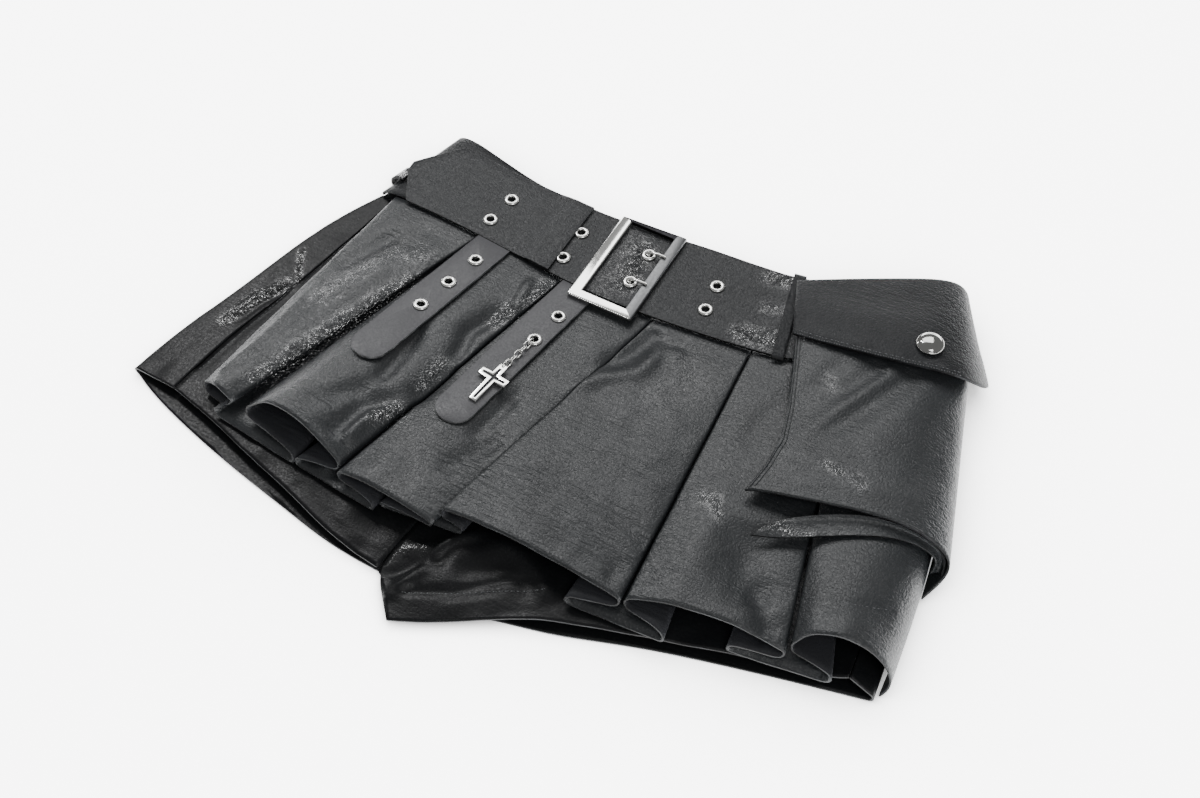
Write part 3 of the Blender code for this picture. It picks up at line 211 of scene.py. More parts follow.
@dataclass(frozen=True)
class FauxLeather:
    """Polyurethane-coated cloth: a thin, dark plastic skin with an embossed grain."""

    name: str
    colour: str
    light: str
    roughness: float
    grain_mm: float
    grain_depth_mm: float
    crinkle_depth_mm: float
    dent_depth_mm: float
    specular: float = 0.5
    stripe_everywhere: float = 0.25

    def build(self) -> Material:
        """Makes the leather: mottled skin, dents, crinkles where marked, stripes and pebble grain."""
        values = {"Specular IOR Level": self.specular, "Coat Roughness": 0.12, "Coat IOR": 2.6}
        made, tree, shader, place = new_material(self.name, values)
        crinkled = add_node(tree, "Attribute", {"attribute_name": Mark.CRINKLE.value}).outputs["Fac"]
        # Broad, cloudy variation of the coat, about two fingers wide.
        cloud = noise_map(tree, place, 30, 3.0)
        # Creased skin: sharp facets about 2 mm wide, that sparkle where the cloth was crushed.
        facets = {"feature": "DISTANCE_TO_EDGE", "input:Scale": 1 / (2.4 * MM), "input:Randomness": 1.0}
        crush = add_node(tree, "TexVoronoi", facets, {"Vector": place}).outputs[0]
        wrinkle = noise_map(tree, place, 4.5, 3.0, Roughness=0.65, Distortion=1.2)
        # Fine stretch lines that run along the hem, 2.6 mm apart and 30 mm long.
        fine = 1 / (2.6 * MM)
        stretched = add_node(tree, "Mapping", {"input:Scale": (1 / (30 * MM), fine, fine)}, {"Vector": place})
        lines = noise_map(tree, stretched.outputs[0], 1 / MM, 2.0, Distortion=0.3)
        striped = add_node(tree, "Attribute", {"attribute_name": Mark.STRIPE.value}).outputs["Fac"]
        least = {"operation": "MAXIMUM", "input:1": self.stripe_everywhere}
        drawn = add_node(tree, "Math", least, {0: striped}).outputs[0]
        # Pebble grain, drawn at 1.4 mm where the real one is 0.5 mm, so that it shows.
        grain = noise_map(tree, place, self.grain_mm, 1.0, Distortion=0.6)
        dent = noise_map(tree, place, 50, 2.0)
        relief = bump(tree, dent, self.dent_depth_mm)
        crushed = product(tree, wrinkle, crush)
        relief = bump(tree, crushed, self.crinkle_depth_mm * 4, relief, strength=crinkled)
        relief = bump(tree, lines, 1.5, relief, strength=drawn)
        relief = bump(tree, grain, self.grain_depth_mm, relief)
        colour = mix_colours(tree, cloud, self.colour, self.light)
        rough = remap(tree, grain, (0.3, 0.7), (self.roughness - 0.09, self.roughness + 0.11))
        # The coat is pressed glossy in specks where it was crushed, so that they sparkle.
        glossy = product(tree, remap(tree, wrinkle, (0.42, 0.54)), crinkled)
        pressed = {"data_type": "FLOAT", "input:3": 0.24}
        rough = add_node(tree, "Mix", pressed, {"Factor": glossy, 2: rough}).outputs[0]
        wire_up(tree, shader, {"Base Color": colour, "Roughness": rough, "Normal": relief})
        wire_up(tree, shader, {"Coat Weight": glossy, "Coat Normal": relief})
        return made


@dataclass(frozen=True)
class CutEdge:
    """The cut or turned edge of coated cloth, where the pale fibres and the worn coat show, with a painted
    highlight along the rim.
    """

    name: str
    colour: str
    light: str
    roughness: float

    def build(self) -> Material:
        """Makes the edge: lighter in short, uneven stretches, partly worn coat and partly a painted highlight
        where the rim catches light, which reads as a thin broken line.
        """
        values = {"Roughness": self.roughness, "Specular IOR Level": 0.3}
        made, tree, shader, place = new_material(self.name, values)
        worn_and_highlight = remap(tree, noise_map(tree, place, 12, 4.0), (0.4, 0.68))
        wire_up(tree, shader, {"Base Color": mix_colours(tree, worn_and_highlight, self.colour, self.light)})
        return made


@dataclass(frozen=True)
class NickelPlate:
    """Zinc or steel with polished nickel plate: a bright, faintly warm mirror with fine scuffs."""

    name: str
    colour: str
    roughness: float
    scuff_mm: float

    def build(self) -> Material:
        """Makes the plate: soft scuffs blur the mirror unevenly and shallow waves bend it."""
        values = {"Base Color": linear(self.colour), "Metallic": 1.0}
        made, tree, shader, place = new_material(self.name, values)
        scuff = noise_map(tree, place, self.scuff_mm, 3.0)
        rough = remap(tree, scuff, (0.0, 1.0), (self.roughness * 0.6, self.roughness * 1.6))
        wire_up(tree, shader, {"Roughness": rough, "Normal": bump(tree, scuff, 0.1, strength=0.35)})
        return made


@dataclass(frozen=True)
class SpunThread:
    """Spun polyester sewing thread: matt, with a faint twist."""

    name: str
    colour: str
    light: str

    def build(self) -> Material:
        """Makes the thread: thin diagonal plies, a shade lighter than the cloth."""
        made, tree, shader, place = new_material(self.name, {"Roughness": 0.75})
        twist = {"bands_direction": "DIAGONAL", "input:Scale": 1 / (4 * MM), "input:Distortion": 0.5}
        plies = add_node(tree, "TexWave", twist, {"Vector": place}).outputs[0]
        wire_up(tree, shader, {"Base Color": mix_colours(tree, plies, self.colour, self.light)})
        return made


# Name, colour, light, roughness, grain, its depth, crinkle depth, dent depth, specular, stripe everywhere.
SKIRT_LEATHER = FauxLeather("coated_faux_leather", "#1c1e20", "#25282a", 0.42, 1.4, 0.42, 1.3, 1.8)
DULL_LEATHER = FauxLeather("dull_coated_faux_leather", "#191a1c", "#202224", 0.48, 1.4, 0.5, 1.0, 1.2, 0.24)
SHORTS_LEATHER = FauxLeather(
    "coated_faux_leather_shorts", "#0d0e0f", "#131416", 0.4, 1.4, 0.15, 1.0, 1.4, 0.2, 0.1
)
BELT_LEATHER = FauxLeather("strap_faux_leather", "#1a1b1d", "#222426", 0.44, 1.4, 0.6, 1.3, 1.4, 0.36, 0.12)
TAB_LEATHER = FauxLeather("smooth_strap_faux_leather", "#3d3d40", "#434346", 0.5, 1.2, 0.06, 0.3, 0.4, 0.5, 0)
# The cut edges are lighter in stretches: partly wear, partly a painted highlight along the rims.
EDGE = CutEdge("cut_edge_wear_and_highlight", "#0c0c0d", "#27292b", 0.62)
TAB_EDGE = CutEdge("strap_edge_paint_and_highlight", "#3a3b3c", "#8b8c8d", 0.4)
NICKEL = NickelPlate("polished_nickel_plate", "#e9e9e6", 0.16, 2.2)
# The darker plate and the blackened plate on the buckle's right and top bars are painted shade on one cast
# frame; the blackened plate is also the cross's real dark face.
PAINTED_SHADE_NICKEL = NickelPlate("painted_shade_nickel_plate", "#747576", 0.4, 1.5)
BLACKENED_AND_SHADE_NICKEL = NickelPlate("blackened_and_painted_shade_nickel_plate", "#2a2a2c", 0.4, 1.5)
BACKING = FauxLeather("black_knit_backing", "#232427", "#2c2d30", 0.6, 1.4, 0.3, 0.0, 1.4, 0.2, 0.0)
MIRROR_NICKEL = NickelPlate("mirror_nickel_plate", "#9c9c9a", 0.09, 2.2)
THREAD = SpunThread("spun_polyester_thread", "#2c2d2f", "#636567")


# ---------------------------------------------------------------- working on meshes
def select_only(piece: Piece) -> None:
    """Makes a piece the only selected object and the active one.

    Args:
        piece: The piece to select.
    """
    bpy.ops.object.select_all(action="DESELECT")
    piece.select_set(True)
    bpy.context.view_layer.objects.active = piece


def apply_modifiers(piece: Piece) -> None:
    """Applies every modifier of a piece in order.

    Args:
        piece: The piece whose modifiers are applied.
    """
    select_only(piece)
    for step in list(piece.modifiers):
        bpy.ops.object.modifier_apply(modifier=step.name)


def smooth_by_angle(piece: Piece, degrees: float) -> None:
    """Shades a piece smooth, apart from edges sharper than an angle.

    Args:
        piece: The piece to shade.
        degrees: The sharpest angle that still shades smooth.
    """
    select_only(piece)
    bpy.ops.object.shade_smooth_by_angle(angle=math.radians(degrees))


def new_piece(name: str, data: bpy.types.ID) -> Piece:
    """Adds an object with its data to the scene."""
    piece = bpy.data.objects.new(name, data)
    bpy.context.scene.collection.objects.link(piece)
    return piece


@contextmanager
def editing(mesh: bpy.types.Mesh) -> Iterator[Work]:
    """Opens a mesh to be edited, and writes it back."""
    work = bmesh.new()
    work.from_mesh(mesh)
    yield work
    work.to_mesh(mesh)
    work.free()


def points_of(mesh: bpy.types.Mesh) -> np.ndarray:
    """Reads a mesh's points as rows of x, y and z, in metres."""
    flat = np.empty(len(mesh.vertices) * 3)
    mesh.vertices.foreach_get("co", flat)
    return flat.reshape(-1, 3)


def copy_of_node(node: str, name: str) -> Piece:
    """Copies a frame solid, merges its loose triangles and turns them back to quads.

    Args:
        node: The frame's node.
        name: The new piece's name.

    Returns:
        The new piece.
    """
    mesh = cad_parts[node].data.copy()
    mesh.materials.clear()
    with editing(mesh) as work:
        for loose in list(work.verts.layers.float.values()):
            work.verts.layers.float.remove(loose)
        bmesh.ops.remove_doubles(work, verts=work.verts, dist=MERGED * MM)
        bmesh.ops.join_triangles(
            work, faces=work.faces, angle_face_threshold=QUAD_ANGLE, angle_shape_threshold=QUAD_ANGLE
        )
    return new_piece(name, mesh)


def round_edges(piece: Piece, width: float, segments: int, degrees: float, material: int = -1) -> None:
    """Bevels a piece's sharp edges, and applies its modifiers.

    Args:
        piece: The piece.
        width: The bevel's width in millimetres.
        segments: How many faces it has across.
        degrees: The smallest angle that is bevelled.
        material: The index of its faces' material, or -1 for the neighbours' own.
    """
    bevel = piece.modifiers.new("rounded edges", "BEVEL")
    bevel.width = width * MM
    bevel.segments = segments
    bevel.limit_method = "ANGLE"
    bevel.angle_limit = math.radians(degrees)
    bevel.material = material
    apply_modifiers(piece)


def wire_piece(name: str, kind: str, spots: list[Vector], thickness: float, rounding: int) -> Piece:
    """Bends round wire or piping along a line.

    Args:
        name: The piece's name.
        kind: "POLY" for a line through the spots, or "NURBS" for a smooth bend between them.
        spots: The line's spots in metres.
        thickness: The wire's thickness in millimetres.
        rounding: How finely it is rounded.

    Returns:
        The new piece.
    """
    curve = bpy.data.curves.new(name, "CURVE")
    curve.dimensions = "3D"
    curve.bevel_depth = thickness / 2 * MM
    curve.bevel_resolution = rounding
    curve.use_fill_caps = True
    spline = curve.splines.new(kind)
    spline.points.add(len(spots) - 1)
    for point, spot in zip(spline.points, spots):
        point.co = (*spot, 1)
    spline.order_u = 3
    spline.use_endpoint_u = True
    select_only(new_piece(name, curve))
    bpy.ops.object.convert(target="MESH")
    return bpy.context.active_object


def finished(
    piece: Piece, body: str, nodes: tuple[str, ...], materials: tuple[Material, ...]
) -> None:
    """Dresses a piece, puts it on its body and reports it.

    Args:
        piece: The piece.
        body: The body that it rides on.
        nodes: The frame's nodes that it stands for.
        materials: Its materials in the order of its faces' indices.
    """
    indices = [face.material_index for face in piece.data.polygons]
    piece.data.materials.clear()
    for made in materials:
        piece.data.materials.append(made)
    piece.data.polygons.foreach_set("material_index", indices)
    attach(piece, body)
    if nodes:
        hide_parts(*nodes)
    piece.data.calc_loop_triangles()
    count = len(piece.data.loop_triangles)
    LOG.info("%s: %d triangles for %s", piece.name, count, ", ".join(nodes) or "itself")


# ---------------------------------------------------------------- creases and marks
def spans_of(line: tuple[Point, ...]) -> list[float]:
    """The lengths from corner to corner of a line."""
    return [math.dist(start, end) for start, end in zip(line, line[1:])]


def along_line(line: tuple[Point, ...], distance: float) -> Point:
    """Finds the place at a distance along a line.

    Args:
        line: The line's corners.
        distance: How far along it.

    Returns:
        The place.
    """
    for (x0, y0), (x1, y1), span in zip(line, line[1:], spans_of(line)):
        if distance <= span:
            share = distance / span
            return (x0 + (x1 - x0) * share, y0 + (y1 - y0) * share)
        distance -= span
    return line[-1]


def nearest_on(line: tuple[Point, ...], x: np.ndarray, y: np.ndarray) -> tuple[np.ndarray, np.ndarray]:
    """Finds how far places are from a line, and how far along it they lie.

    Args:
        line: The line's corners.
        x: The places' x.
        y: The places' y.

    Returns:
        The distances, and the shares of the line's length.
    """
    spans = spans_of(line)
    whole = sum(spans)
    best = np.full(x.shape, np.inf)
    share = np.zeros(x.shape)
    done = 0.0
    for (x0, y0), (x1, y1), span in zip(line, line[1:], spans):
        t = np.clip(((x - x0) * (x1 - x0) + (y - y0) * (y1 - y0)) / span**2, 0, 1)
        away = np.hypot(x - x0 - t * (x1 - x0), y - y0 - t * (y1 - y0))
        closer = away < best
        share = np.where(closer, (done + t * span) / whole, share)
        best = np.where(closer, away, best)
        done += span
    return best, share


@dataclass(frozen=True)
class Crease:
    """A soft ridge, or a trough where its rise is below 0, along a line on the cloth."""

    line: tuple[Point, ...]
    rise: float
    width: float
    start: float = 0.25
    end: float = 0.25

    def lift(self, x: np.ndarray, y: np.ndarray) -> np.ndarray:
        """How far the crease lifts places at x, y: full in its middle and eased at its ends."""
        away, share = nearest_on(self.line, x, y)
        ease = np.clip(share / self.start, 0, 1) * np.clip((1 - share) / self.end, 0, 1)
        return self.rise * np.exp(-((away / self.width) ** 2)) * ease * (2 - ease)


@dataclass(frozen=True)
class Marking:
    """A stretch of crushed or striped cloth along a line."""

    mark: Mark
    line: tuple[Point, ...]
    width: float
    amount: float

    def amounts(self, x: np.ndarray, y: np.ndarray) -> np.ndarray:
        """How much of the mark places at x, y have."""
        away, _ = nearest_on(self.line, x, y)
        return self.amount * np.exp(-((away / self.width) ** 2) * 1.5)


@dataclass(frozen=True)
class StillLine:
    """A line where something lies on the skirt, which keeps its height there."""

    line: tuple[Point, ...]
    width: float


STILL_LINES = (
    StillLine(((-88, 88), (-109, -48)), 16),
    StillLine(((-19, 80), (-37, -62)), 16),
    StillLine(((135, 95), (150, -15)), 12),
    StillLine(((200, 95), (200, 0)), 60),
)


@dataclass(frozen=True)
class Unevenness:
    """The slow unevenness of coated cloth that lies loose, still below the belt, tabs and pocket."""

    broad_rise: float = 1.2
    broad_size: Point = (26.0, 44.0)
    fine_rise: float = 0.45
    fine_size: Point = (11.0, 17.0)
    fine_start: tuple[float, float] = (7.0, 3.0)
    belt_line: float = 74.0
    belt_fade: float = 22.0
    still_fade: float = 14.0

    def lift(self, x: np.ndarray, y: np.ndarray) -> np.ndarray:
        """How far places at x, y are lifted."""
        lifted = np.zeros(x.shape)
        for index, (across, down) in enumerate(zip(x, y)):
            broad = Vector((across / self.broad_size[0], down / self.broad_size[1], 0.0))
            start, layer = self.fine_start
            fine = Vector((across / self.fine_size[0] + start, down / self.fine_size[1], layer))
            lifted[index] = self.broad_rise * noise.noise(broad) + self.fine_rise * noise.noise(fine)
        calm = np.clip((self.belt_line - y) / self.belt_fade, 0, 1)
        for still in STILL_LINES:
            away, _ = nearest_on(still.line, x, y)
            calm = calm * np.clip((away - still.width) / self.still_fade, 0, 1)
        return lifted * calm


UNEVENNESS = Unevenness()


# ---------------------------------------------------------------- cloth
def write_marks(mesh: bpy.types.Mesh, marks: tuple[Marking, ...]) -> None:
    """Stores how crushed and how striped each point is.

    Args:
        mesh: The finished mesh.
        marks: The places that are marked.
    """
    places = points_of(mesh)
    x, y = places[:, 0] / MM, places[:, 1] / MM
    for mark in Mark:
        amounts = np.zeros(len(x))
        for marking in marks:
            if marking.mark is mark:
                amounts = np.maximum(amounts, marking.amounts(x, y))
        layer = mesh.attributes.new(mark.value, "FLOAT", "POINT")
        layer.data.foreach_set("value", amounts)


@dataclass
class ClothShell:
    """One cut piece of coated cloth, as a thin shell on its solid's form."""

    node: str
    leather: Material
    edge: Material
    slot: str
    flat: tuple[float, float]
    area: float
    held: Held
    rests_on: tuple[str, ...]
    levels: int = 3
    refine_top: bool = False
    uneven: bool = True
    creases: tuple[Crease, ...] = ()
    marks: tuple[Marking, ...] = ()
    backing: Material | None = None

    RIM_ANGLE = math.radians(66)
    RIM_WIDTH = 2.2
    TOP_TILT = 0.2
    TOP_HEIGHT = 12.5
    TOP_EDGE = 3.4
    LYING_HEIGHT = 1.3
    LOOSE_HEIGHT = 4.0

    def mark_sides(self, work: Work) -> None:
        """Creases the wall's rim, and gives its narrow faces the edge's finish and its inside the backing's.

        Args:
            work: The shell as merged quads.
        """
        crease = work.edges.layers.float.new("crease_edge")
        for edge in work.edges:
            if len(edge.link_faces) == 2 and edge.calc_face_angle() > self.RIM_ANGLE:
                edge[crease] = 1.0
        for face in work.faces:
            narrow = min(edge.calc_length() for edge in face.edges) <= self.RIM_WIDTH * MM
            if narrow and len(face.verts) == 4:
                face.material_index = int(sum(edge[crease] for edge in face.edges) >= 2)
        if self.backing:
            self.mark_inside(work, crease)

    @staticmethod
    def mark_inside(work: Work, crease: bmesh.types.BMLayerItem) -> None:
        """Gives the wall's inner side its backing: what the sharp rim parts from the outer side.

        Args:
            work: The shell as merged quads.
            crease: The layer that holds 1 on the rim's edges.
        """
        upward = [face for face in work.faces if face.normal.z > 0.7]
        outer = {max(upward, key=lambda face: face.calc_center_median().z)}
        ahead = list(outer)
        while ahead:
            for edge in ahead.pop().edges:
                if edge[crease] < 0.5:
                    found = set(edge.link_faces) - outer
                    outer |= found
                    ahead += found
        for face in work.faces:
            if face.material_index == 0 and face not in outer:
                face.material_index = 2

    def refine(self, mesh: bpy.types.Mesh) -> None:
        """Splits the long faces that look up, where the creases show.

        Args:
            mesh: The smoothed shell.
        """
        with editing(mesh) as work:
            edges = set()
            for face in work.faces:
                upward = face.normal.z > self.TOP_TILT
                high = face.calc_center_median().z > self.TOP_HEIGHT * MM
                if upward and high and max(edge.calc_length() for edge in face.edges) > self.TOP_EDGE * MM:
                    edges.update(face.edges)
            bmesh.ops.subdivide_edges(work, edges=list(edges), cuts=1, use_grid_fill=True)

    def displace(self, mesh: bpy.types.Mesh) -> None:
        """Lifts and lowers the shell's points by its creases and its slow unevenness.

        Args:
            mesh: The smoothed shell. What lies on the floor stays there.
        """
        places = points_of(mesh)
        x, y = places[:, 0] / MM, places[:, 1] / MM
        lifted = UNEVENNESS.lift(x, y) if self.uneven else np.zeros(len(x))
        for crease in self.creases:
            lifted += crease.lift(x, y)
        loose = np.clip((places[:, 2] / MM - self.LYING_HEIGHT) / self.LOOSE_HEIGHT, 0, 1)
        places[:, 2] += lifted * loose * MM
        mesh.vertices.foreach_set("co", places.reshape(-1))
        mesh.update()

    def build(self) -> Piece:
        """Returns:
            The finished piece.
        """
        piece = copy_of_node(self.node, self.node + "_cloth")
        with editing(piece.data) as work:
            self.mark_sides(work)
        smooth = piece.modifiers.new("smooth", "SUBSURF")
        smooth.levels = self.levels
        smooth.render_levels = self.levels
        apply_modifiers(piece)
        if self.refine_top:
            self.refine(piece.data)
        self.displace(piece.data)
        write_marks(piece.data, self.marks)
        smooth_by_angle(piece, 50)
        materials = (self.leather, self.edge) + ((self.backing,) if self.backing else ())
        finished(piece, "garment", (self.node,), materials)
        return piece


SKIRT_CREASES = (
    Crease(((-89, 0), (-89, -32), (-89, -62)), -3.8, 6),
    Crease(((-89, -62), (-105, -84), (-118, -98)), -2.6, 7, 0.1, 0.6),
    Crease(((-58, -19), (-63, 11), (-53, 39)), -3.8, 5.5),
    Crease(((-48, 31), (-49, 51), (-52, 72)), 2.4, 4),
    Crease(((-66, -66), (-76, -80), (-80, -92), (-81, -108)), 3.2, 5, 0.2, 0.1),
    Crease(((-73, -60), (-86, -78), (-90, -110)), -4.0, 7, 0.3, 0.1),
    Crease(((-65, -57), (-60, -42), (-59, -20)), -3.0, 6),
    Crease(((-10, -12), (-13, -46), (-17, -68)), -3.0, 6),
    Crease(((0, -52), (-10, -75), (-20, -97)), -3.2, 7),
    Crease(((-24, 10), (-30, -40), (-40, -90)), 1.2, 8),
    Crease(((14, -5), (30, 18), (50, 35), (53, 64)), 2.8, 6, 0.35, 0.3),
    Crease(((24, 26), (38, 48), (44, 74)), -2.8, 7, 0.3, 0.1),
    Crease(((45, 65), (67, 70), (97, 78)), -1.0, 6, 0.3, 0.3),
    Crease(((60, 66), (66, 52)), 1.4, 5, 0.3, 0.4),
    Crease(((78, -66), (100, -74), (118, -79)), -1.1, 5, 0.5, 0.1),
    Crease(((96, -62), (110, -71), (120, -76)), 0.9, 4, 0.5, 0.1),
    Crease(((74, -76), (98, -84), (118, -91)), 0.7, 4.5, 0.5, 0.1),
    Crease(((107, -97), (108, -106), (110, -116)), -1.6, 5, 0.4, 0.1),
    Crease(((60, 10), (66, -30), (60, -80)), -0.9, 14),
    Crease(((129, -95), (168, -87), (212, -72)), 1.1, 3.5, 0.2, 0.2),
    Crease(((129, -91), (168, -83), (212, -68)), -0.9, 3.5, 0.2, 0.2),
    Crease(((208, -103), (193, -84), (183, -72)), -3.2, 7, 0.05, 0.5),
    Crease(((136, -10), (142, -50), (150, -92)), 1.2, 9),
    Crease(((213, -72), (241, -66), (266, -53)), -0.8, 3.5, 0.1, 0.1),
    Crease(((213, -69), (241, -62), (266, -50)), 0.7, 3, 0.1, 0.1),
    Crease(((-173, 0), (-174, -24), (-176, -62), (-183, -100)), 1.4, 4, 0.2, 0.05),
    Crease(((-150, 66), (-160, 40), (-168, 10)), -2.6, 8),
    Crease(((-131, 60), (-146, 20), (-158, -30)), 1.4, 9),
    Crease(((-136, 52), (-140, 66), (-134, 80)), -1.2, 7),
    Crease(((-118, 70), (-124, 46), (-130, 24)), 1.2, 6),
    Crease(((-70, 78), (-74, 40), (-80, 0)), 1.3, 8),
    Crease(((150, 92), (139, 50), (132, 10)), -1.3, 8),
    Crease(((18, -20), (6, -70), (4, -110)), 0.9, 8, 0.3, 0.1),
    Crease(((166, -36), (176, -66), (192, -92)), -4.6, 17, 0.3, 0.2),
)
SKIRT_MARKS = (
    Marking(Mark.CRINKLE, ((-116, 34), (-130, 0), (-138, -22), (-150, -60), (-150, -96)), 7, 0.95),
    Marking(Mark.CRINKLE, ((-161, -92), (-149, -56), (-138, -18), (-128, 20)), 4.5, 0.6),
    Marking(Mark.CRINKLE, ((-164, -10), (-156, 20), (-146, 46), (-126, 52)), 10, 0.25),
    Marking(Mark.CRINKLE, ((-67, -68), (-76, -80)), 6, 0.9),
    Marking(Mark.CRINKLE, ((-53, 28), (-49, 40)), 7, 0.7),
    Marking(Mark.CRINKLE, ((-40, 74), (-44, 52)), 6, 0.6),
    Marking(Mark.CRINKLE, ((131, -34), (138, -34)), 5, 0.55),
    Marking(Mark.CRINKLE, ((138, -36), (146, -44)), 3.5, 0.5),
    Marking(Mark.CRINKLE, ((-64, -20), (-66, -44)), 5, 0.5),
    Marking(Mark.CRINKLE, ((66, 62), (84, 44), (70, 24)), 16, 0.07),
    Marking(Mark.STRIPE, ((0, -85), (60, -92), (118, -90)), 46, 0.9),
    Marking(Mark.STRIPE, ((20, -30), (100, -30)), 40, 0.55),
    Marking(Mark.STRIPE, ((-140, -98), (-96, -104)), 18, 0.9),
    Marking(Mark.STRIPE, ((130, -80), (215, -70)), 26, 0.5),
    Marking(Mark.STRIPE, ((-60, -110), (-12, -100)), 26, 0.4),
)
SHORTS_RIGHT_CREASES = (
    Crease(((-193, -8), (-198, -47), (-206, -96)), -0.9, 3.2, 0.1, 0.05),
    Crease(((-190, 0), (-200, -24), (-206, -50)), 1.5, 4, 0.2, 0.3),
    Crease(((-24, -148), (-48, -152), (-66, -142)), 1.0, 5, 0.2, 0.3),
    Crease(((-30, -158), (-70, -148), (-110, -132)), -0.7, 5),
    Crease(((-96, -140), (-104, -128), (-112, -116)), 0.9, 6),
    Crease(((-140, -132), (-146, -118), (-150, -104)), -0.8, 7),
    Crease(((-178, -118), (-182, -96), (-180, -70)), 0.9, 6),
)
SHORTS_LEFT_CREASES = (
    Crease(((-6, -179), (1, -155), (5, -137), (12, -122), (26, -111)), 3.6, 3.4, 0.1, 0.2),
    Crease(((24, -113), (52, -115), (67, -122), (82, -136)), 2.6, 4.5, 0.3, 0.2),
    Crease(((-16, -166), (0, -150), (9, -141), (8, -128)), -2.4, 3.5, 0.15, 0.2),
    Crease(((18, -146), (34, -136), (50, -128)), -3.6, 9, 0.3, 0.3),
    Crease(((-9, -175), (26, -157), (54, -133), (69, -129)), -1.8, 2.6, 0.1, 0.2),
    Crease(((23, -165), (56, -140)), -1.2, 2.2, 0.2, 0.3),
    Crease(((-17, -146), (3, -133), (6, -118)), 1.4, 3.6, 0.2, 0.2),
    Crease(((-20, -156), (0, -146), (20, -140)), -0.9, 4),
    Crease(((74, -146), (75, -130), (66, -112)), 1.1, 5),
    Crease(((51, -165), (60, -156), (72, -147)), -0.6, 4),
    Crease(((120, -130), (126, -116), (124, -100)), 0.8, 6),
    Crease(((160, -122), (170, -110), (176, -96)), -0.7, 6),
)
BACK_CREASES = (
    Crease(((-214, -46), (-208, -24), (-198, -6)), 1.5, 3.2, 0.2, 0.1),
    Crease(((-208, -50), (-203, -28), (-195, -8)), -1.0, 2.6, 0.2, 0.1),
    Crease(((-224, -70), (-226, -96), (-228, -112)), -0.6, 5),
)
BACK_MARKS = (
    Marking(Mark.CRINKLE, ((-215, -50), (-208, -24), (-198, -6)), 4.5, 0.9),
    Marking(Mark.CRINKLE, ((-206, 24), (-197, 8), (-190, -2)), 2.5, 0.6),
)
SHORTS_MARKS = (
    Marking(Mark.CRINKLE, ((-212, -46), (-206, -24), (-193, -6)), 3.4, 0.55),
    Marking(Mark.CRINKLE, ((-20, -150), (-4, -140)), 6, 0.15),
)
POCKET_CREASES = (
    Crease(((188, 108), (169, 66), (155, 22)), -2.6, 9, 0.1, 0.4),
    Crease(((208, 112), (188, 64), (168, 22)), -2.4, 9, 0.1, 0.4),
    Crease(((198, 110), (178, 64), (160, 20)), 1.8, 6, 0.15, 0.4),
    Crease(((164, 100), (152, 58), (146, 36)), -1.8, 8, 0.1, 0.3),
    Crease(((148, 14), (166, 14), (197, 15)), 0.9, 7, 0.2, 0.4),
    Crease(((222, 110), (216, 70), (206, 30)), 0.9, 12),
    Crease(((240, 112), (244, 60), (240, 20)), -0.9, 10),
    Crease(((174, -6), (200, 6), (232, 10)), 0.8, 6),
)
POCKET_MARKS = (
    Marking(Mark.CRINKLE, ((188, 16), (198, 13)), 3, 0.6),
    Marking(Mark.CRINKLE, ((160, 84), (166, 74)), 4, 0.2),
    Marking(Mark.CRINKLE, ((208, 14), (214, 10)), 5, 0.35),
)
GUSSET_MARKS = (
    Marking(Mark.CRINKLE, ((164, -40), (186, -34)), 5, 0.6),
    Marking(Mark.CRINKLE, ((186, -38), (214, -26), (240, -16)), 2.5, 0.4),
)
FLAP_CREASES = (
    Crease(((126, 110), (150, 108), (176, 110)), 0.7, 5, 0.2, 0.3),
    Crease(((118, 140), (160, 152), (198, 168)), -0.7, 12),
    Crease(((196, 112), (206, 118), (216, 128)), -0.6, 6),
    Crease(((226, 120), (238, 140), (236, 160)), 0.7, 7),
)
FLAP_MARKS = (Marking(Mark.STRIPE, ((124, 150), (200, 160)), 30, 0.4),)
LOOP_MARKS = (Marking(Mark.CRINKLE, ((-184, 112), (-176, 112)), 8, 0.6),)


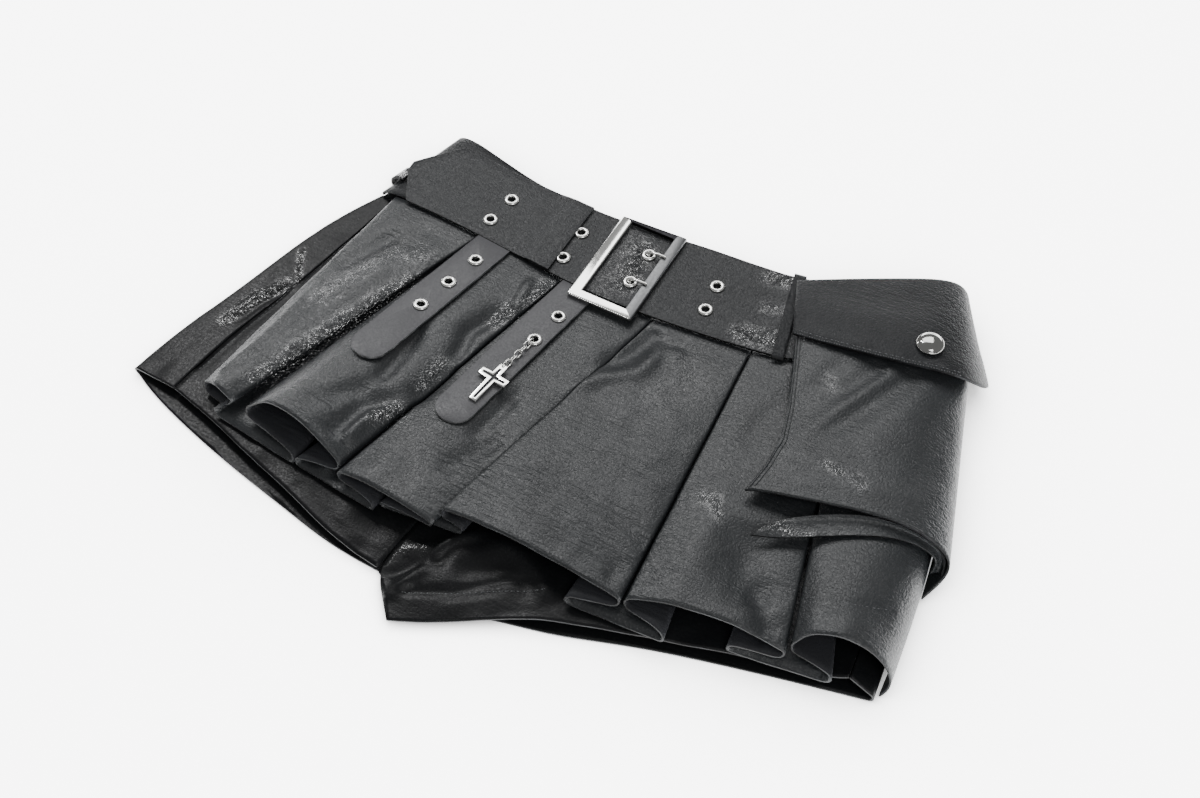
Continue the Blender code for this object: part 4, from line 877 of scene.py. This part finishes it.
def skirt_shells(leather: Material, dull: Material, shorts: Material, edge: Material) -> list[ClothShell]:
    """Lists the cloth pieces with their cuts, creases and crushed places.

    Args:
        leather: The skirt's and pocket's finish.
        dull: The band's, loops' and flap's finish.
        shorts: The shorts' finish.
        edge: The cut edges' finish.

    Returns:
        The shells, lowest first.
    """
    coat, under, strap = "coated_leather", "shorts_leather", "belt_leather"
    laid, folded = Held.LAID, Held.FOLDED
    still = {"uneven": False}
    fronts = ("shorts_front_right_cloth", "shorts_front_left_cloth")
    return [
        ClothShell("waistband_back", dull, edge, coat, (0.43, 0.075), 0.028, laid, (), 2, **still),
        ClothShell(
            "shorts_back_right", shorts, edge, under, (0.30, 0.27), 0.057, laid, (),
            creases=BACK_CREASES, marks=BACK_MARKS,
        ),
        ClothShell("shorts_back_left", shorts, edge, under, (0.32, 0.31), 0.067, laid, ()),
        ClothShell(
            "shorts_front_right", shorts, edge, under, (0.23, 0.26), 0.044, laid,
            ("shorts_back_right_cloth",), creases=SHORTS_RIGHT_CREASES, marks=SHORTS_MARKS,
        ),
        ClothShell(
            "shorts_front_left", shorts, edge, under, (0.28, 0.31), 0.060, laid,
            ("shorts_back_left_cloth",), creases=SHORTS_LEFT_CREASES, marks=SHORTS_MARKS,
        ),
        ClothShell(
            "skirt_overlay", leather, edge, coat, (0.98, 0.25), 0.19, folded, fronts, 2, True,
            creases=SKIRT_CREASES, marks=SKIRT_MARKS, backing=BACKING.build(),
        ),
        ClothShell("waistband_front", dull, edge, coat, (0.43, 0.075), 0.028, laid, (), 2, **still),
        ClothShell("belt_loop_left", dull, edge, strap, (0.010, 0.085), 0.0007, folded, (), 2, **still),
        ClothShell(
            "belt_loop_right", dull, edge, strap, (0.013, 0.024), 0.00028, folded, (), 2,
            marks=LOOP_MARKS, **still,
        ),
        ClothShell(
            "pocket_front", leather, edge, coat, (0.15, 0.15), 0.0187, laid, ("skirt_overlay_cloth",),
            creases=POCKET_CREASES, marks=POCKET_MARKS, **still,
        ),
        ClothShell(
            "pocket_gusset", leather, edge, coat, (0.13, 0.0165), 0.0016, folded, (),
            marks=GUSSET_MARKS, **still,
        ),
        ClothShell(
            "pocket_flap", dull, edge, coat, (0.145, 0.09), 0.0099, laid, ("pocket_front_cloth",),
            creases=FLAP_CREASES, marks=FLAP_MARKS, **still,
        ),
    ]


# ---------------------------------------------------------------- straps
@dataclass
class Strap:
    """A doubled, stiffened strap with punched holes: the belt's two runs and the tabs."""

    node: str
    leather: Material
    edge: Material
    slot: str
    flat: tuple[float, float]
    rests_on: tuple[str, ...]
    marks: tuple[Marking, ...] = ()
    edge_radius: float = 0.4
    longest_edge: float = 5.0
    halvings: int = 3

    def build(self) -> None:
        piece = copy_of_node(self.node, self.node + "_strap")
        for face in piece.data.polygons:
            face.material_index = int(abs(face.normal.z) < 0.6)
        round_edges(piece, self.edge_radius, 2, 48, material=1)
        if self.marks:
            self.split_long(piece.data)
        write_marks(piece.data, self.marks)
        smooth_by_angle(piece, 40)
        finished(piece, "garment", (self.node,), (self.leather, self.edge))

    def split_long(self, mesh: bpy.types.Mesh) -> None:
        """Splits long edges, so that the marks have points to sit on.

        Args:
            mesh: The strap's mesh.
        """
        with editing(mesh) as work:
            for _ in range(self.halvings):
                bmesh.ops.triangulate(work, faces=work.faces)
                edges = [edge for edge in work.edges if edge.calc_length() > self.longest_edge * MM]
                bmesh.ops.subdivide_edges(work, edges=edges, cuts=1)
            bmesh.ops.triangulate(work, faces=work.faces)


BELT_MARKS = (
    Marking(Mark.CRINKLE, ((2, 128), (6, 96)), 8, 0.9),
    Marking(Mark.CRINKLE, ((-8, 132), (-4, 92)), 14, 0.16),
    Marking(Mark.CRINKLE, ((92, 95), (102, 96), (114, 99)), 7, 0.85),
    Marking(Mark.CRINKLE, ((90, 149), (106, 151)), 7, 0.8),
    Marking(Mark.CRINKLE, ((96, 122), (108, 124)), 4, 0.4),
)


# ---------------------------------------------------------------- metal
def node_axes(node: str) -> tuple[Vector, Matrix, Vector]:
    """Reads where a small solid lies and how it is turned, from its points.

    Args:
        node: The frame's node.

    Returns:
        Its middle, halfway between its box's and its points', a turn whose columns are its long, middle
        and thin directions, and its size along them.
    """
    places = np.unique(np.round(points_of(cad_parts[node].data), 6), axis=0)
    middle = (places.max(0) + places.min(0)) / 4 + places.mean(0) / 2
    _, ways = np.linalg.eigh(np.cov((places - places.mean(0)).T))
    long, thin = Vector(ways[:, 2]), Vector(ways[:, 0])
    if thin.z < 0:
        thin = -thin
    wide = thin.cross(long).normalized()
    turn = Matrix((long, wide, thin)).transposed()
    local = (places - middle) @ np.array(turn)
    return Vector(middle), turn, Vector(local.max(0) - local.min(0))


def place_mesh(piece: Piece, middle: Vector, turn: Matrix) -> None:
    """Turns and moves a piece's mesh, and leaves its object at the origin.

    Args:
        piece: The piece, modelled round the origin.
        middle: Where its origin goes.
        turn: How it is turned.
    """
    piece.data.transform(Matrix.Translation(middle) @ turn.to_4x4())
    piece.data.update()


def turned_piece(name: str, profile: tuple[Point, ...], sides: int) -> Piece:
    """Turns a ring or knob by extruding a circle from one profile point to the next.

    Args:
        name: The piece's name.
        profile: (radius, height) from point to point. A last radius of 0 closes it.
        sides: How many sides the circle has.

    Returns:
        The new piece at the origin.
    """
    bpy.ops.object.select_all(action="DESELECT")
    radius, height = profile[0]
    bpy.ops.mesh.primitive_circle_add(vertices=sides, radius=radius * MM, location=(0, 0, height * MM))
    piece = bpy.context.active_object
    piece.name = name
    bpy.ops.object.mode_set(mode="EDIT")
    bpy.ops.mesh.select_all(action="SELECT")
    for next_radius, next_height in profile[1:]:
        grow = max(next_radius, CLOSED_RADIUS) / radius
        rise = (0, 0, (next_height - height) * MM)
        bpy.ops.mesh.extrude_edges_move(TRANSFORM_OT_translate={"value": rise})
        bpy.ops.transform.resize(value=(grow, grow, 1), center_override=(0, 0, 0))
        radius, height = next_radius, next_height
    bpy.ops.mesh.select_all(action="SELECT")
    bpy.ops.mesh.remove_doubles(threshold=CLOSED_RADIUS * 4 * MM)
    bpy.ops.mesh.normals_make_consistent(inside=False)
    bpy.ops.object.mode_set(mode="OBJECT")
    select_only(piece)
    bpy.ops.object.transform_apply(location=True, rotation=True, scale=True)
    return piece


CLOSED_RADIUS = 0.001
BARREL_END = 0.2
BARREL_LENGTH = 1.6


@dataclass
class Eyelets:
    """Rolled eyelets: a low domed flange with a barrel through the strap."""

    metal: Material
    profile: tuple[Point, ...] = (
        (2.6, -1.4), (2.5, 0.2), (2.6, 0.75), (2.95, 1.1), (3.6, 1.25), (4.4, 1.05),
        (4.95, 0.6), (5.1, 0.15), (4.9, 0.02), (2.9, 0.02), (2.85, -1.4), (2.6, -1.4),
    )

    def build(self) -> None:
        """Models one eyelet and copies it to every eyelet of the frame."""
        first = turned_piece("eyelet_pattern", self.profile, 28)
        for node in sorted(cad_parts):
            if not node.startswith("eyelet_"):
                continue
            piece = new_piece(node + "_rolled", first.data.copy())
            place_mesh(piece, *self.flange_place(node))
            smooth_by_angle(piece, 60)
            finished(piece, "garment", (node,), (self.metal,))
        bpy.data.objects.remove(first, do_unlink=True)

    @staticmethod
    def flange_place(node: str) -> tuple[Vector, Matrix]:
        """Finds an eyelet's flange on the strap's face from its barrel, also where it is partly covered.

        Args:
            node: The eyelet's node.

        Returns:
            The flange's middle, and the turn that stands the eyelet up there.
        """
        spots = {tuple(round(c, 6) for c in vertex.co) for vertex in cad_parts[node].data.vertices}
        places = np.array(sorted(spots))
        _, ways = np.linalg.eigh(np.cov((places - places.mean(0)).T))
        thin = Vector(ways[:, 0])
        thin = thin if thin.z > 0 else -thin
        heights = places @ np.array(thin)
        barrel = places[heights < heights.min() + BARREL_END * MM]
        middle = Vector(barrel.mean(0)) + thin * (BARREL_LENGTH * MM)
        return middle, thin.to_track_quat("Z", "Y").to_matrix()


@dataclass
class Buckle:
    """A cast frame buckle with bars of unequal width and two prongs."""

    metal: Material
    painted_shade_plate: Material
    dark: Material
    window_low: Point = (-15.3, 75.4)
    window_high: Point = (17.1, 144.4)
    bar_bevel: float = 1.1
    corner_reach: float = 2.4
    bead: float = 1.5
    bead_radius: float = 0.9
    bead_depth: float = 1.1
    prong_wire: float = 1.9
    bar_slack: float = 0.4

    def build(self) -> None:
        """Builds the frame, its beads and the prongs."""
        low, high = (Vector(corner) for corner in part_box("buckle_frame"))
        bpy.ops.object.select_all(action="DESELECT")
        bpy.ops.mesh.primitive_cube_add(size=1, location=(low + high) / 2, scale=high - low)
        piece = bpy.context.active_object
        piece.name = "buckle_cast_frame"
        bpy.ops.object.transform_apply(location=True, rotation=False, scale=True)
        self.open_window(piece)
        round_edges(piece, self.bar_bevel, 3, 60)
        # The right bar takes the darker plate and the top bar the blackened one: painted shade, as the frame
        # is one casting.
        right, top = self.window_high
        for face in piece.data.polygons:
            if face.center.x > (right - self.bar_slack) * MM:
                face.material_index = 1
            elif face.center.y > (top - self.bar_slack) * MM:
                face.material_index = 2
        for vertex in piece.data.vertices:
            if vertex.co.x > right * MM and vertex.co.y > (top + self.bar_slack / 2) * MM:
                vertex.co.y += self.corner_reach * MM
        smooth_by_angle(piece, 35)
        finished(piece, "garment", ("buckle_frame",), (self.metal, self.painted_shade_plate, self.dark))
        self.bead_row(low, high)
        for number in (1, 2):
            self.bend_prong(number)

    def bead_row(self, low: Vector, high: Vector) -> None:
        """Casts the beaded line along the bottom bar's outer edge.

        Args:
            low: The frame's low corner.
            high: The frame's high corner.
        """
        start = low + Vector((self.bead * 1.5, 0.3, 0)) * MM
        start.z = high.z - self.bead_depth * MM
        bpy.ops.object.select_all(action="DESELECT")
        bpy.ops.mesh.primitive_cylinder_add(
            vertices=10, radius=self.bead_radius * MM, depth=self.bead_depth * MM, location=start
        )
        piece = bpy.context.active_object
        piece.name = "buckle_bead_row"
        piece.rotation_euler = (math.radians(90), 0, 0)
        bpy.ops.object.transform_apply(location=True, rotation=True, scale=True)
        round_edges(piece, 0.35, 2, 30)
        row = piece.modifiers.new("row of beads", "ARRAY")
        row.count = int((high.x - low.x) / (self.bead * MM)) - 2
        row.use_relative_offset = False
        row.use_constant_offset = True
        row.constant_offset_displace = (self.bead * MM, 0, 0)
        apply_modifiers(piece)
        smooth_by_angle(piece, 35)
        finished(piece, "garment", (), (self.metal,))

    def open_window(self, piece: Piece) -> None:
        """Insets the top and the bottom to the window's outline and bridges them.

        Args:
            piece: The block that becomes the frame.
        """
        bpy.ops.object.mode_set(mode="EDIT")
        bpy.ops.mesh.select_mode(type="FACE")
        bpy.ops.mesh.select_all(action="DESELECT")
        work = bmesh.from_edit_mesh(piece.data)
        for face in work.faces:
            face.select = abs(face.normal.z) > 0.9
        bmesh.update_edit_mesh(piece.data)
        bpy.ops.mesh.inset(thickness=3 * MM)
        work = bmesh.from_edit_mesh(piece.data)
        inner = [face for face in work.faces if face.select]
        middle = sum((v.co for face in inner for v in face.verts), Vector()) / 8
        for vertex in {v for face in inner for v in face.verts}:
            vertex.co.x = (self.window_low[0] if vertex.co.x < middle.x else self.window_high[0]) * MM
            vertex.co.y = (self.window_low[1] if vertex.co.y < middle.y else self.window_high[1]) * MM
        bmesh.update_edit_mesh(piece.data)
        bpy.ops.mesh.bridge_edge_loops()
        bpy.ops.object.mode_set(mode="OBJECT")

    def bend_prong(self, number: int) -> None:
        """Bends one prong from wire, from the bar down into its eyelet.

        Args:
            number: 1 for the upper prong and 2 for the lower one.
        """
        node = f"buckle_prong_{number}"
        low, high = (Vector(corner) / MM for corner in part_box(node))
        y, top = (low.y + high.y) / 2, high.z - self.prong_wire / 2
        path = (
            (high.x, top), (high.x - 5, top), (high.x - 9, top - 0.6), (high.x - 13, top - 2.2),
            (high.x - 16.4, top - 4.2), (low.x + 1.0, low.z + 0.6),
        )
        spots = [Vector((x * MM, y * MM, z * MM)) for x, z in path]
        piece = wire_piece(node + "_wire", "NURBS", spots, self.prong_wire, 4)
        smooth_by_angle(piece, 50)
        finished(piece, "garment", (node,), (self.metal,))


@dataclass
class SnapCap:
    """A domed press stud cap with a rolled rim."""

    metal: Material
    profile: tuple[Point, ...] = (
        (8.4, 0.0), (8.9, 0.3), (9.0, 0.8), (8.75, 1.35), (8.2, 1.7), (7.7, 1.9), (7.0, 2.5),
        (5.8, 3.25), (4.2, 3.8), (2.4, 4.12), (1.0, 4.19), (0.0, 4.2),
    )

    def build(self) -> None:
        """Turns the cap and sets it on the flap."""
        low, high = (Vector(corner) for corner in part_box("snap"))
        piece = turned_piece("snap_domed_cap", self.profile, 40)
        foot = (low + high) / 2
        foot.z = low.z
        place_mesh(piece, foot, Matrix.Identity(3))
        smooth_by_angle(piece, 60)
        finished(piece, "garment", ("snap",), (self.metal,))


@dataclass
class Charm:
    """A jump ring, a short chain of oval links, a ring and a pressed cross."""

    metal: Material
    dark: Material
    length: float = 33.0
    span: float = 21.0
    arm_width: float = 5.6
    arm_down: float = 8.5
    border: float = 1.95
    hole_end: float = 3.9
    relief: float = 0.6

    def build(self) -> None:
        """Builds the rings, the links and the cross on their bodies."""
        self.build_loop("charm_jump_ring", 1.0, "garment")
        for number in range(1, 6):
            self.build_loop(f"charm_link_{number}", 0.9, "chain")
        self.build_loop("charm_cross_ring", 0.9, "chain")
        self.press_cross()

    def build_loop(self, node: str, wire: float, body: str) -> None:
        """Makes one ring or oval link from round wire.

        Args:
            node: The frame's node that it stands for.
            wire: The wire's thickness.
            body: The body that it rides on.
        """
        middle, turn, size = node_axes(node)
        bpy.ops.object.select_all(action="DESELECT")
        radius = (size.y / MM - wire) / 2
        bpy.ops.mesh.primitive_torus_add(
            major_radius=radius * MM, minor_radius=wire * MM / 2, major_segments=28, minor_segments=10
        )
        piece = bpy.context.active_object
        piece.name = node + "_wire"
        stretch = (size.x - size.y) / 2
        for vertex in piece.data.vertices:
            if abs(vertex.co.x) > 1e-6:
                vertex.co.x += math.copysign(stretch, vertex.co.x)
        place_mesh(piece, middle, turn)
        smooth_by_angle(piece, 70)
        finished(piece, body, (node,), (self.metal,))

    def press_cross(self) -> None:
        """Thins the plate, darkens its face and raises a border on it."""
        middle, turn, _ = node_axes("charm_cross")
        placed = Matrix.Translation(middle) @ turn.to_4x4()
        piece = copy_of_node("charm_cross", "charm_cross_pressed")
        with editing(piece.data) as work:
            work.transform(placed.inverted())
            reach = max(abs(vertex.co.y) for vertex in work.verts) * 0.8
            arms = [vertex.co.x for vertex in work.verts if abs(vertex.co.y) > reach]
            along = [vertex.co.x for vertex in work.verts]
            upward = 1 if sum(arms) / len(arms) > (min(along) + max(along)) / 2 else -1
            top = max(x * upward for x in along) / MM
            half = max(vertex.co.z for vertex in work.verts) / MM
            for vertex in work.verts:
                if vertex.co.z > 0:
                    vertex.co.z -= self.relief * MM
            for face in work.faces:
                face.material_index = int(face.normal.z > 0.5)
            band = (self.outline(0.0), self.outline(self.border, self.hole_end))
            self.raise_band(work, *band, (half - self.relief - 0.1, half), top, upward)
            bmesh.ops.recalc_face_normals(work, faces=work.faces)
            work.transform(placed)
        round_edges(piece, 0.14, 2, 50)
        smooth_by_angle(piece, 40)
        finished(piece, "cross", ("charm_cross",), (self.metal, self.dark))

    def outline(self, inset: float, top: float | None = None) -> list[Point]:
        """The cross's outline, moved in, as distances down from its top and to one side.

        Args:
            inset: How far the outline moves in.
            top: Where it starts below the top, if not at the inset.

        Returns:
            Its 12 corners.
        """
        start = inset if top is None else top
        half, arm = self.arm_width / 2 - inset, self.span / 2 - inset
        upper, lower = self.arm_down + inset, self.arm_down + self.arm_width - inset
        foot = self.length - inset
        right = [(start, half), (upper, half), (upper, arm), (lower, arm), (lower, half), (foot, half)]
        return right + [(down, -side) for down, side in reversed(right)]

    @staticmethod
    def raise_band(
        work: Work, outer: list[Point], inner: list[Point], heights: Point, top: float, upward: int
    ) -> None:
        """Adds a raised closed band between two outlines.

        Args:
            work: The mesh that it is added to.
            outer: The outer outline.
            inner: The inner outline.
            heights: The heights of its underside and its top.
            top: Where the cross's upper end is.
            upward: 1 where the long direction runs to the upper end, or else -1.
        """
        low, high = heights
        rings = []
        for outline, height in ((outer, low), (outer, high), (inner, high), (inner, low)):
            spots = [Vector(((top - down) * upward, side, height)) * MM for down, side in outline]
            rings.append([work.verts.new(spot) for spot in spots])
        for first, second in zip(rings, rings[1:] + rings[:1]):
            for index in range(len(first)):
                after = (index + 1) % len(first)
                work.faces.new((first[index], first[after], second[after], second[index]))


# ---------------------------------------------------------------- sewing
@dataclass(frozen=True)
class Seam:
    """A row of stitches along a line in plan, laid on the cloth below it."""

    name: str
    line: tuple[Point, ...]
    pitch: float = 3.6
    length: float = 2.6
    thickness: float = 0.55


@dataclass
class Sewing:
    """Sewn rows: each stitch is a small bar of thread pressed into the cloth."""

    thread: Material
    seams: tuple[Seam, ...]

    def build(self, ground: list[Piece]) -> None:
        """Sews every seam on the pieces given.

        Args:
            ground: The pieces that the stitches may lie on.
        """
        tree = self.ground_tree(ground)
        for seam in self.seams:
            points, faces = [], []
            for start, end in self.stitches(seam):
                spots = [self.on_ground(tree, spot) for spot in (start, end)]
                if None in spots:
                    continue
                self.add_stitch(points, faces, spots[0], spots[1], seam.thickness)
            if not faces:
                continue
            mesh = bpy.data.meshes.new(seam.name)
            mesh.from_pydata(points, [], faces)
            piece = new_piece(seam.name, mesh)
            select_only(piece)
            bpy.ops.object.mode_set(mode="EDIT")
            bpy.ops.mesh.select_all(action="SELECT")
            bpy.ops.mesh.normals_make_consistent(inside=False)
            bpy.ops.object.mode_set(mode="OBJECT")
            smooth_by_angle(piece, 60)
            finished(piece, "garment", (), (self.thread,))

    @staticmethod
    def ground_tree(ground: list[Piece]) -> BVHTree:
        """Joins the pieces' faces into one tree to be hit from above."""
        points, faces = [], []
        for piece in ground:
            start = len(points)
            points += [vertex.co.copy() for vertex in piece.data.vertices]
            faces += [[start + index for index in face.vertices] for face in piece.data.polygons]
        return BVHTree.FromPolygons(points, faces)

    @staticmethod
    def on_ground(tree: BVHTree, spot: Point) -> Vector | None:
        """The place on the cloth's top below a spot."""
        hit = tree.ray_cast(Vector((spot[0] * MM, spot[1] * MM, 0.2)), Vector((0, 0, -1)))
        return hit[0]

    @staticmethod
    def stitches(seam: Seam) -> list[tuple[Point, Point]]:
        """The two ends of each stitch along the seam's line."""
        starts = [number * seam.pitch for number in range(int(sum(spans_of(seam.line)) // seam.pitch))]
        return [tuple(along_line(seam.line, start + part) for part in (0, seam.length)) for start in starts]

    @staticmethod
    def add_stitch(points: list, faces: list, start: Vector, end: Vector, thickness: float) -> None:
        """Adds one stitch: a bar of six sides with pulled-in ends."""
        way = (end - start).normalized()
        side = way.cross(Vector((0, 0, 1))).normalized()
        up = side.cross(way).normalized()
        base = len(points)
        rings = ((0.0, 0.45, -0.25), (0.2, 1.0, 0.0), (0.8, 1.0, 0.0), (1.0, 0.45, -0.25))
        for share, size, sink in rings:
            middle = start.lerp(end, share) + up * (thickness * (0.12 + sink) * MM)
            for corner in range(6):
                angle = math.tau * corner / 6
                spread = side * math.cos(angle) + up * math.sin(angle) * 0.8
                points.append(middle + spread * (thickness / 2 * size * MM))
        for ring in range(3):
            for corner in range(6):
                a, b = base + ring * 6 + corner, base + ring * 6 + (corner + 1) % 6
                faces.append((a, b, b + 6, a + 6))
        faces.append(tuple(base + corner for corner in range(5, -1, -1)))
        faces.append(tuple(base + 18 + corner for corner in range(6)))


EDGING_STEP = 2.5


@dataclass(frozen=True)
class Edging:
    """A thin rolled edge along a line in plan, laid on the cloth below it."""

    name: str
    line: tuple[Point, ...]
    thickness: float = 1.1

    def build(self, tree: BVHTree, leather: Material) -> None:
        """Rolls the edge along its line.

        Args:
            tree: The cloth that it lies on.
            leather: Its finish.
        """
        whole = sum(spans_of(self.line))
        count = int(whole // EDGING_STEP)
        places = [along_line(self.line, whole * step / count) for step in range(count + 1)]
        hits = [Sewing.on_ground(tree, place) for place in places]
        lift = Vector((0, 0, 0.1 * self.thickness * MM))
        piece = wire_piece(self.name, "POLY", [hit + lift for hit in hits if hit], self.thickness, 2)
        smooth_by_angle(piece, 60)
        finished(piece, "garment", (), (leather,))


EDGINGS = (
    Edging(
        "pocket_side_piping",
        ((126.8, 105.8), (136.4, 81), (147.9, 50), (156.2, 21.4), (155.6, -1.5), (153.4, -20.5)),
    ),
    Edging(
        "pocket_side_piping_inner",
        ((129.6, 105), (139.0, 80.2), (150.4, 49.6), (158.6, 21), (158.2, -1), (156.4, -18)),
        0.8,
    ),
    Edging(
        "pocket_mouth_piping",
        ((153.4, -20.5), (164, -18.4), (182.5, -14.3), (204, -9.5), (223.5, -5.2), (243, -1.8), (258, -0.2)),
    ),
)
SEAMS = (
    Seam(
        "stitches_pocket_side",
        ((132.2, 104), (141.6, 79.4), (152.9, 49.2), (161.2, 20.6), (161, -1), (160, -14.5)),
    ),
    Seam(
        "stitches_pocket_mouth",
        ((160, -14.5), (182.5, -10.6), (204, -5.9), (223.5, -1.6), (243, 1.6), (256, 3)),
    ),
    Seam(
        "stitches_flap_hem",
        ((127, 107), (142, 106), (160, 106.5), (181, 108.5), (202, 112), (220, 117), (234, 122)),
    ),
    Seam(
        "overlock_flap_edge",
        ((125, 104.9), (142, 103.9), (159, 104.4), (181, 106.4), (203, 109.9), (221, 114.9), (234, 119.8)),
        1.7, 1.0, 0.7,
    ),
    Seam("stitches_shorts_left_hem", ((0, -171), (27, -158), (50, -144), (76, -130))),
    Seam(
        "stitches_shorts_right_seam",
        ((-205, -94), (-201, -66), (-198, -47), (-194, -20), (-192, -8)),
        thickness=0.5,
    ),
    Seam(
        "stitches_skirt_side_hem",
        ((214, -71), (228, -69), (241, -66), (254, -60), (264, -54)),
        thickness=0.45,
    ),
    Seam(
        "stitches_skirt_left_hem",
        ((131, -92), (150, -89), (168, -85), (190, -80), (210, -74)),
        thickness=0.45,
    ),
)


# ---------------------------------------------------------------- studio
@dataclass(frozen=True)
class Lamp:
    """A rectangular light: its place and size in metres and its power in watts."""

    name: str
    place: tuple[float, float, float]
    size: tuple[float, float]
    power: float


LAMPS = (
    Lamp("soft_box", (-0.45, 1.1, 1.35), (1.2, 0.8), 15.0),
    Lamp("glint_strip", (-0.9, 0.5, 1.1), (0.08, 0.5), 8.0),
    Lamp("fill_box", (0.9, -0.7, 1.3), (0.7, 0.7), 10.0),
)


@dataclass
class Studio:
    """A pale floor, soft light from above and behind, and the photograph's viewpoint."""

    elevation: float = 53.0
    turn: float = 29.0
    distance: float = 1.1875
    lens: float = 55.86
    target: tuple[float, float, float] = (0.035, 0.009, 0.010)
    # How far the painted shadow round the cloth reaches, and the paper's glow in it and in the open.
    shadow_reach: float = 0.12
    painted_shadow_glow: float = 0.3
    glow_open: float = 6.5
    surround: float = 0.34

    def build(self) -> None:
        """Sets up the floor, the lights and the camera."""
        self.lay_floor()
        self.hang_lights()
        self.set_camera()

    def lay_floor(self) -> None:
        """Lays a wide sheet of glowing white backdrop paper with a painted soft shadow round the cloth."""
        bpy.ops.object.select_all(action="DESELECT")
        bpy.ops.mesh.primitive_plane_add(size=30, location=(0, 0, -0.0005))
        floor = bpy.context.active_object
        floor.name = "floor_paper"
        values = {"Roughness": 0.9, "Specular IOR Level": 0.1, "Emission Color": (1, 1, 1, 1)}
        made, tree, shader, place = new_material("matt_white_backdrop_paper", values)
        fibre = noise_map(tree, place, 4, 2.0)
        # The paper glows evenly, and ambient occlusion dims the glow near the cloth: a painted soft shadow
        # round it.
        painted_shadow_occlusion = add_node(tree, "AmbientOcclusion", {"samples": 4, "input:Distance": self.shadow_reach})
        glow = remap(tree, painted_shadow_occlusion.outputs["AO"], (0.4, 1.0), (self.painted_shadow_glow, self.glow_open))
        colour = mix_colours(tree, fibre, "#fbfbfb", "#fefefe")
        wire_up(tree, shader, {"Base Color": colour, "Emission Strength": glow})
        floor.data.materials.append(made)

    def hang_lights(self) -> None:
        """Hangs a soft box behind, a strip for the glints, a fill in front and an even surround."""
        world = bpy.data.worlds.new("even_studio")
        bpy.context.scene.world = world
        world.use_nodes = True
        back = world.node_tree.nodes["Background"]
        back.inputs["Color"].default_value = (1, 1, 1, 1)
        back.inputs["Strength"].default_value = self.surround
        for hung in LAMPS:
            light = bpy.data.lights.new(hung.name, "AREA")
            light.shape = "RECTANGLE"
            light.size, light.size_y = hung.size
            light.energy = hung.power
            lamp = new_piece(hung.name, light)
            lamp.location = hung.place
            aim = Vector((0.02, 0.0, 0.0)) - Vector(hung.place)
            lamp.rotation_euler = aim.to_track_quat("-Z", "Y").to_euler()

    def set_camera(self) -> None:
        """Puts the camera where the photograph was taken from."""
        up_angle, turn = math.radians(self.elevation), math.radians(self.turn)
        right = Vector((math.cos(turn), math.sin(turn), 0))
        level = Vector((-math.sin(turn), math.cos(turn), 0))
        forward = level * math.cos(up_angle) - Vector((0, 0, math.sin(up_angle)))
        up = level * math.sin(up_angle) + Vector((0, 0, math.cos(up_angle)))
        data = bpy.data.cameras.new("camera")
        data.lens = self.lens
        data.sensor_width = 36
        data.sensor_fit = "HORIZONTAL"
        camera = new_piece("camera", data)
        place = Vector(self.target) - forward * self.distance
        camera.matrix_world = Matrix.Translation(place) @ Matrix((right, up, -forward)).transposed().to_4x4()
        bpy.context.scene.camera = camera


# ---------------------------------------------------------------- the skort
def main() -> None:
    """Builds every piece in order."""
    logging.basicConfig(level=logging.INFO, format="%(name)s %(message)s")
    Studio().build()
    leather, shorts = SKIRT_LEATHER.build(), SHORTS_LEATHER.build()
    belt, tab = BELT_LEATHER.build(), TAB_LEATHER.build()
    edge, tab_edge = EDGE.build(), TAB_EDGE.build()
    nickel, painted_shade_plate, dark = NICKEL.build(), PAINTED_SHADE_NICKEL.build(), BLACKENED_AND_SHADE_NICKEL.build()
    ground = [shell.build() for shell in skirt_shells(leather, DULL_LEATHER.build(), shorts, edge)]
    band, skirt = ("waistband_front_cloth",), ("skirt_overlay_cloth",)
    straps = (
        Strap("belt_main", belt, edge, "belt_leather", (0.27, 0.066), band, BELT_MARKS),
        Strap("belt_tail", belt, edge, "belt_leather", (0.13, 0.062), band),
        Strap("tab_right", tab, tab_edge, "tab_leather", (0.026, 0.139), skirt),
        Strap("tab_middle", tab, tab_edge, "tab_leather", (0.026, 0.144), skirt),
    )
    for strap in straps:
        strap.build()
    tree = Sewing.ground_tree(ground)
    for edging in EDGINGS:
        edging.build(tree, leather)
    Eyelets(nickel).build()
    Buckle(nickel, painted_shade_plate, dark).build()
    SnapCap(MIRROR_NICKEL.build()).build()
    Charm(nickel, dark).build()
    Sewing(THREAD.build(), SEAMS).build(ground)


if __name__ == "__main__":
    main()
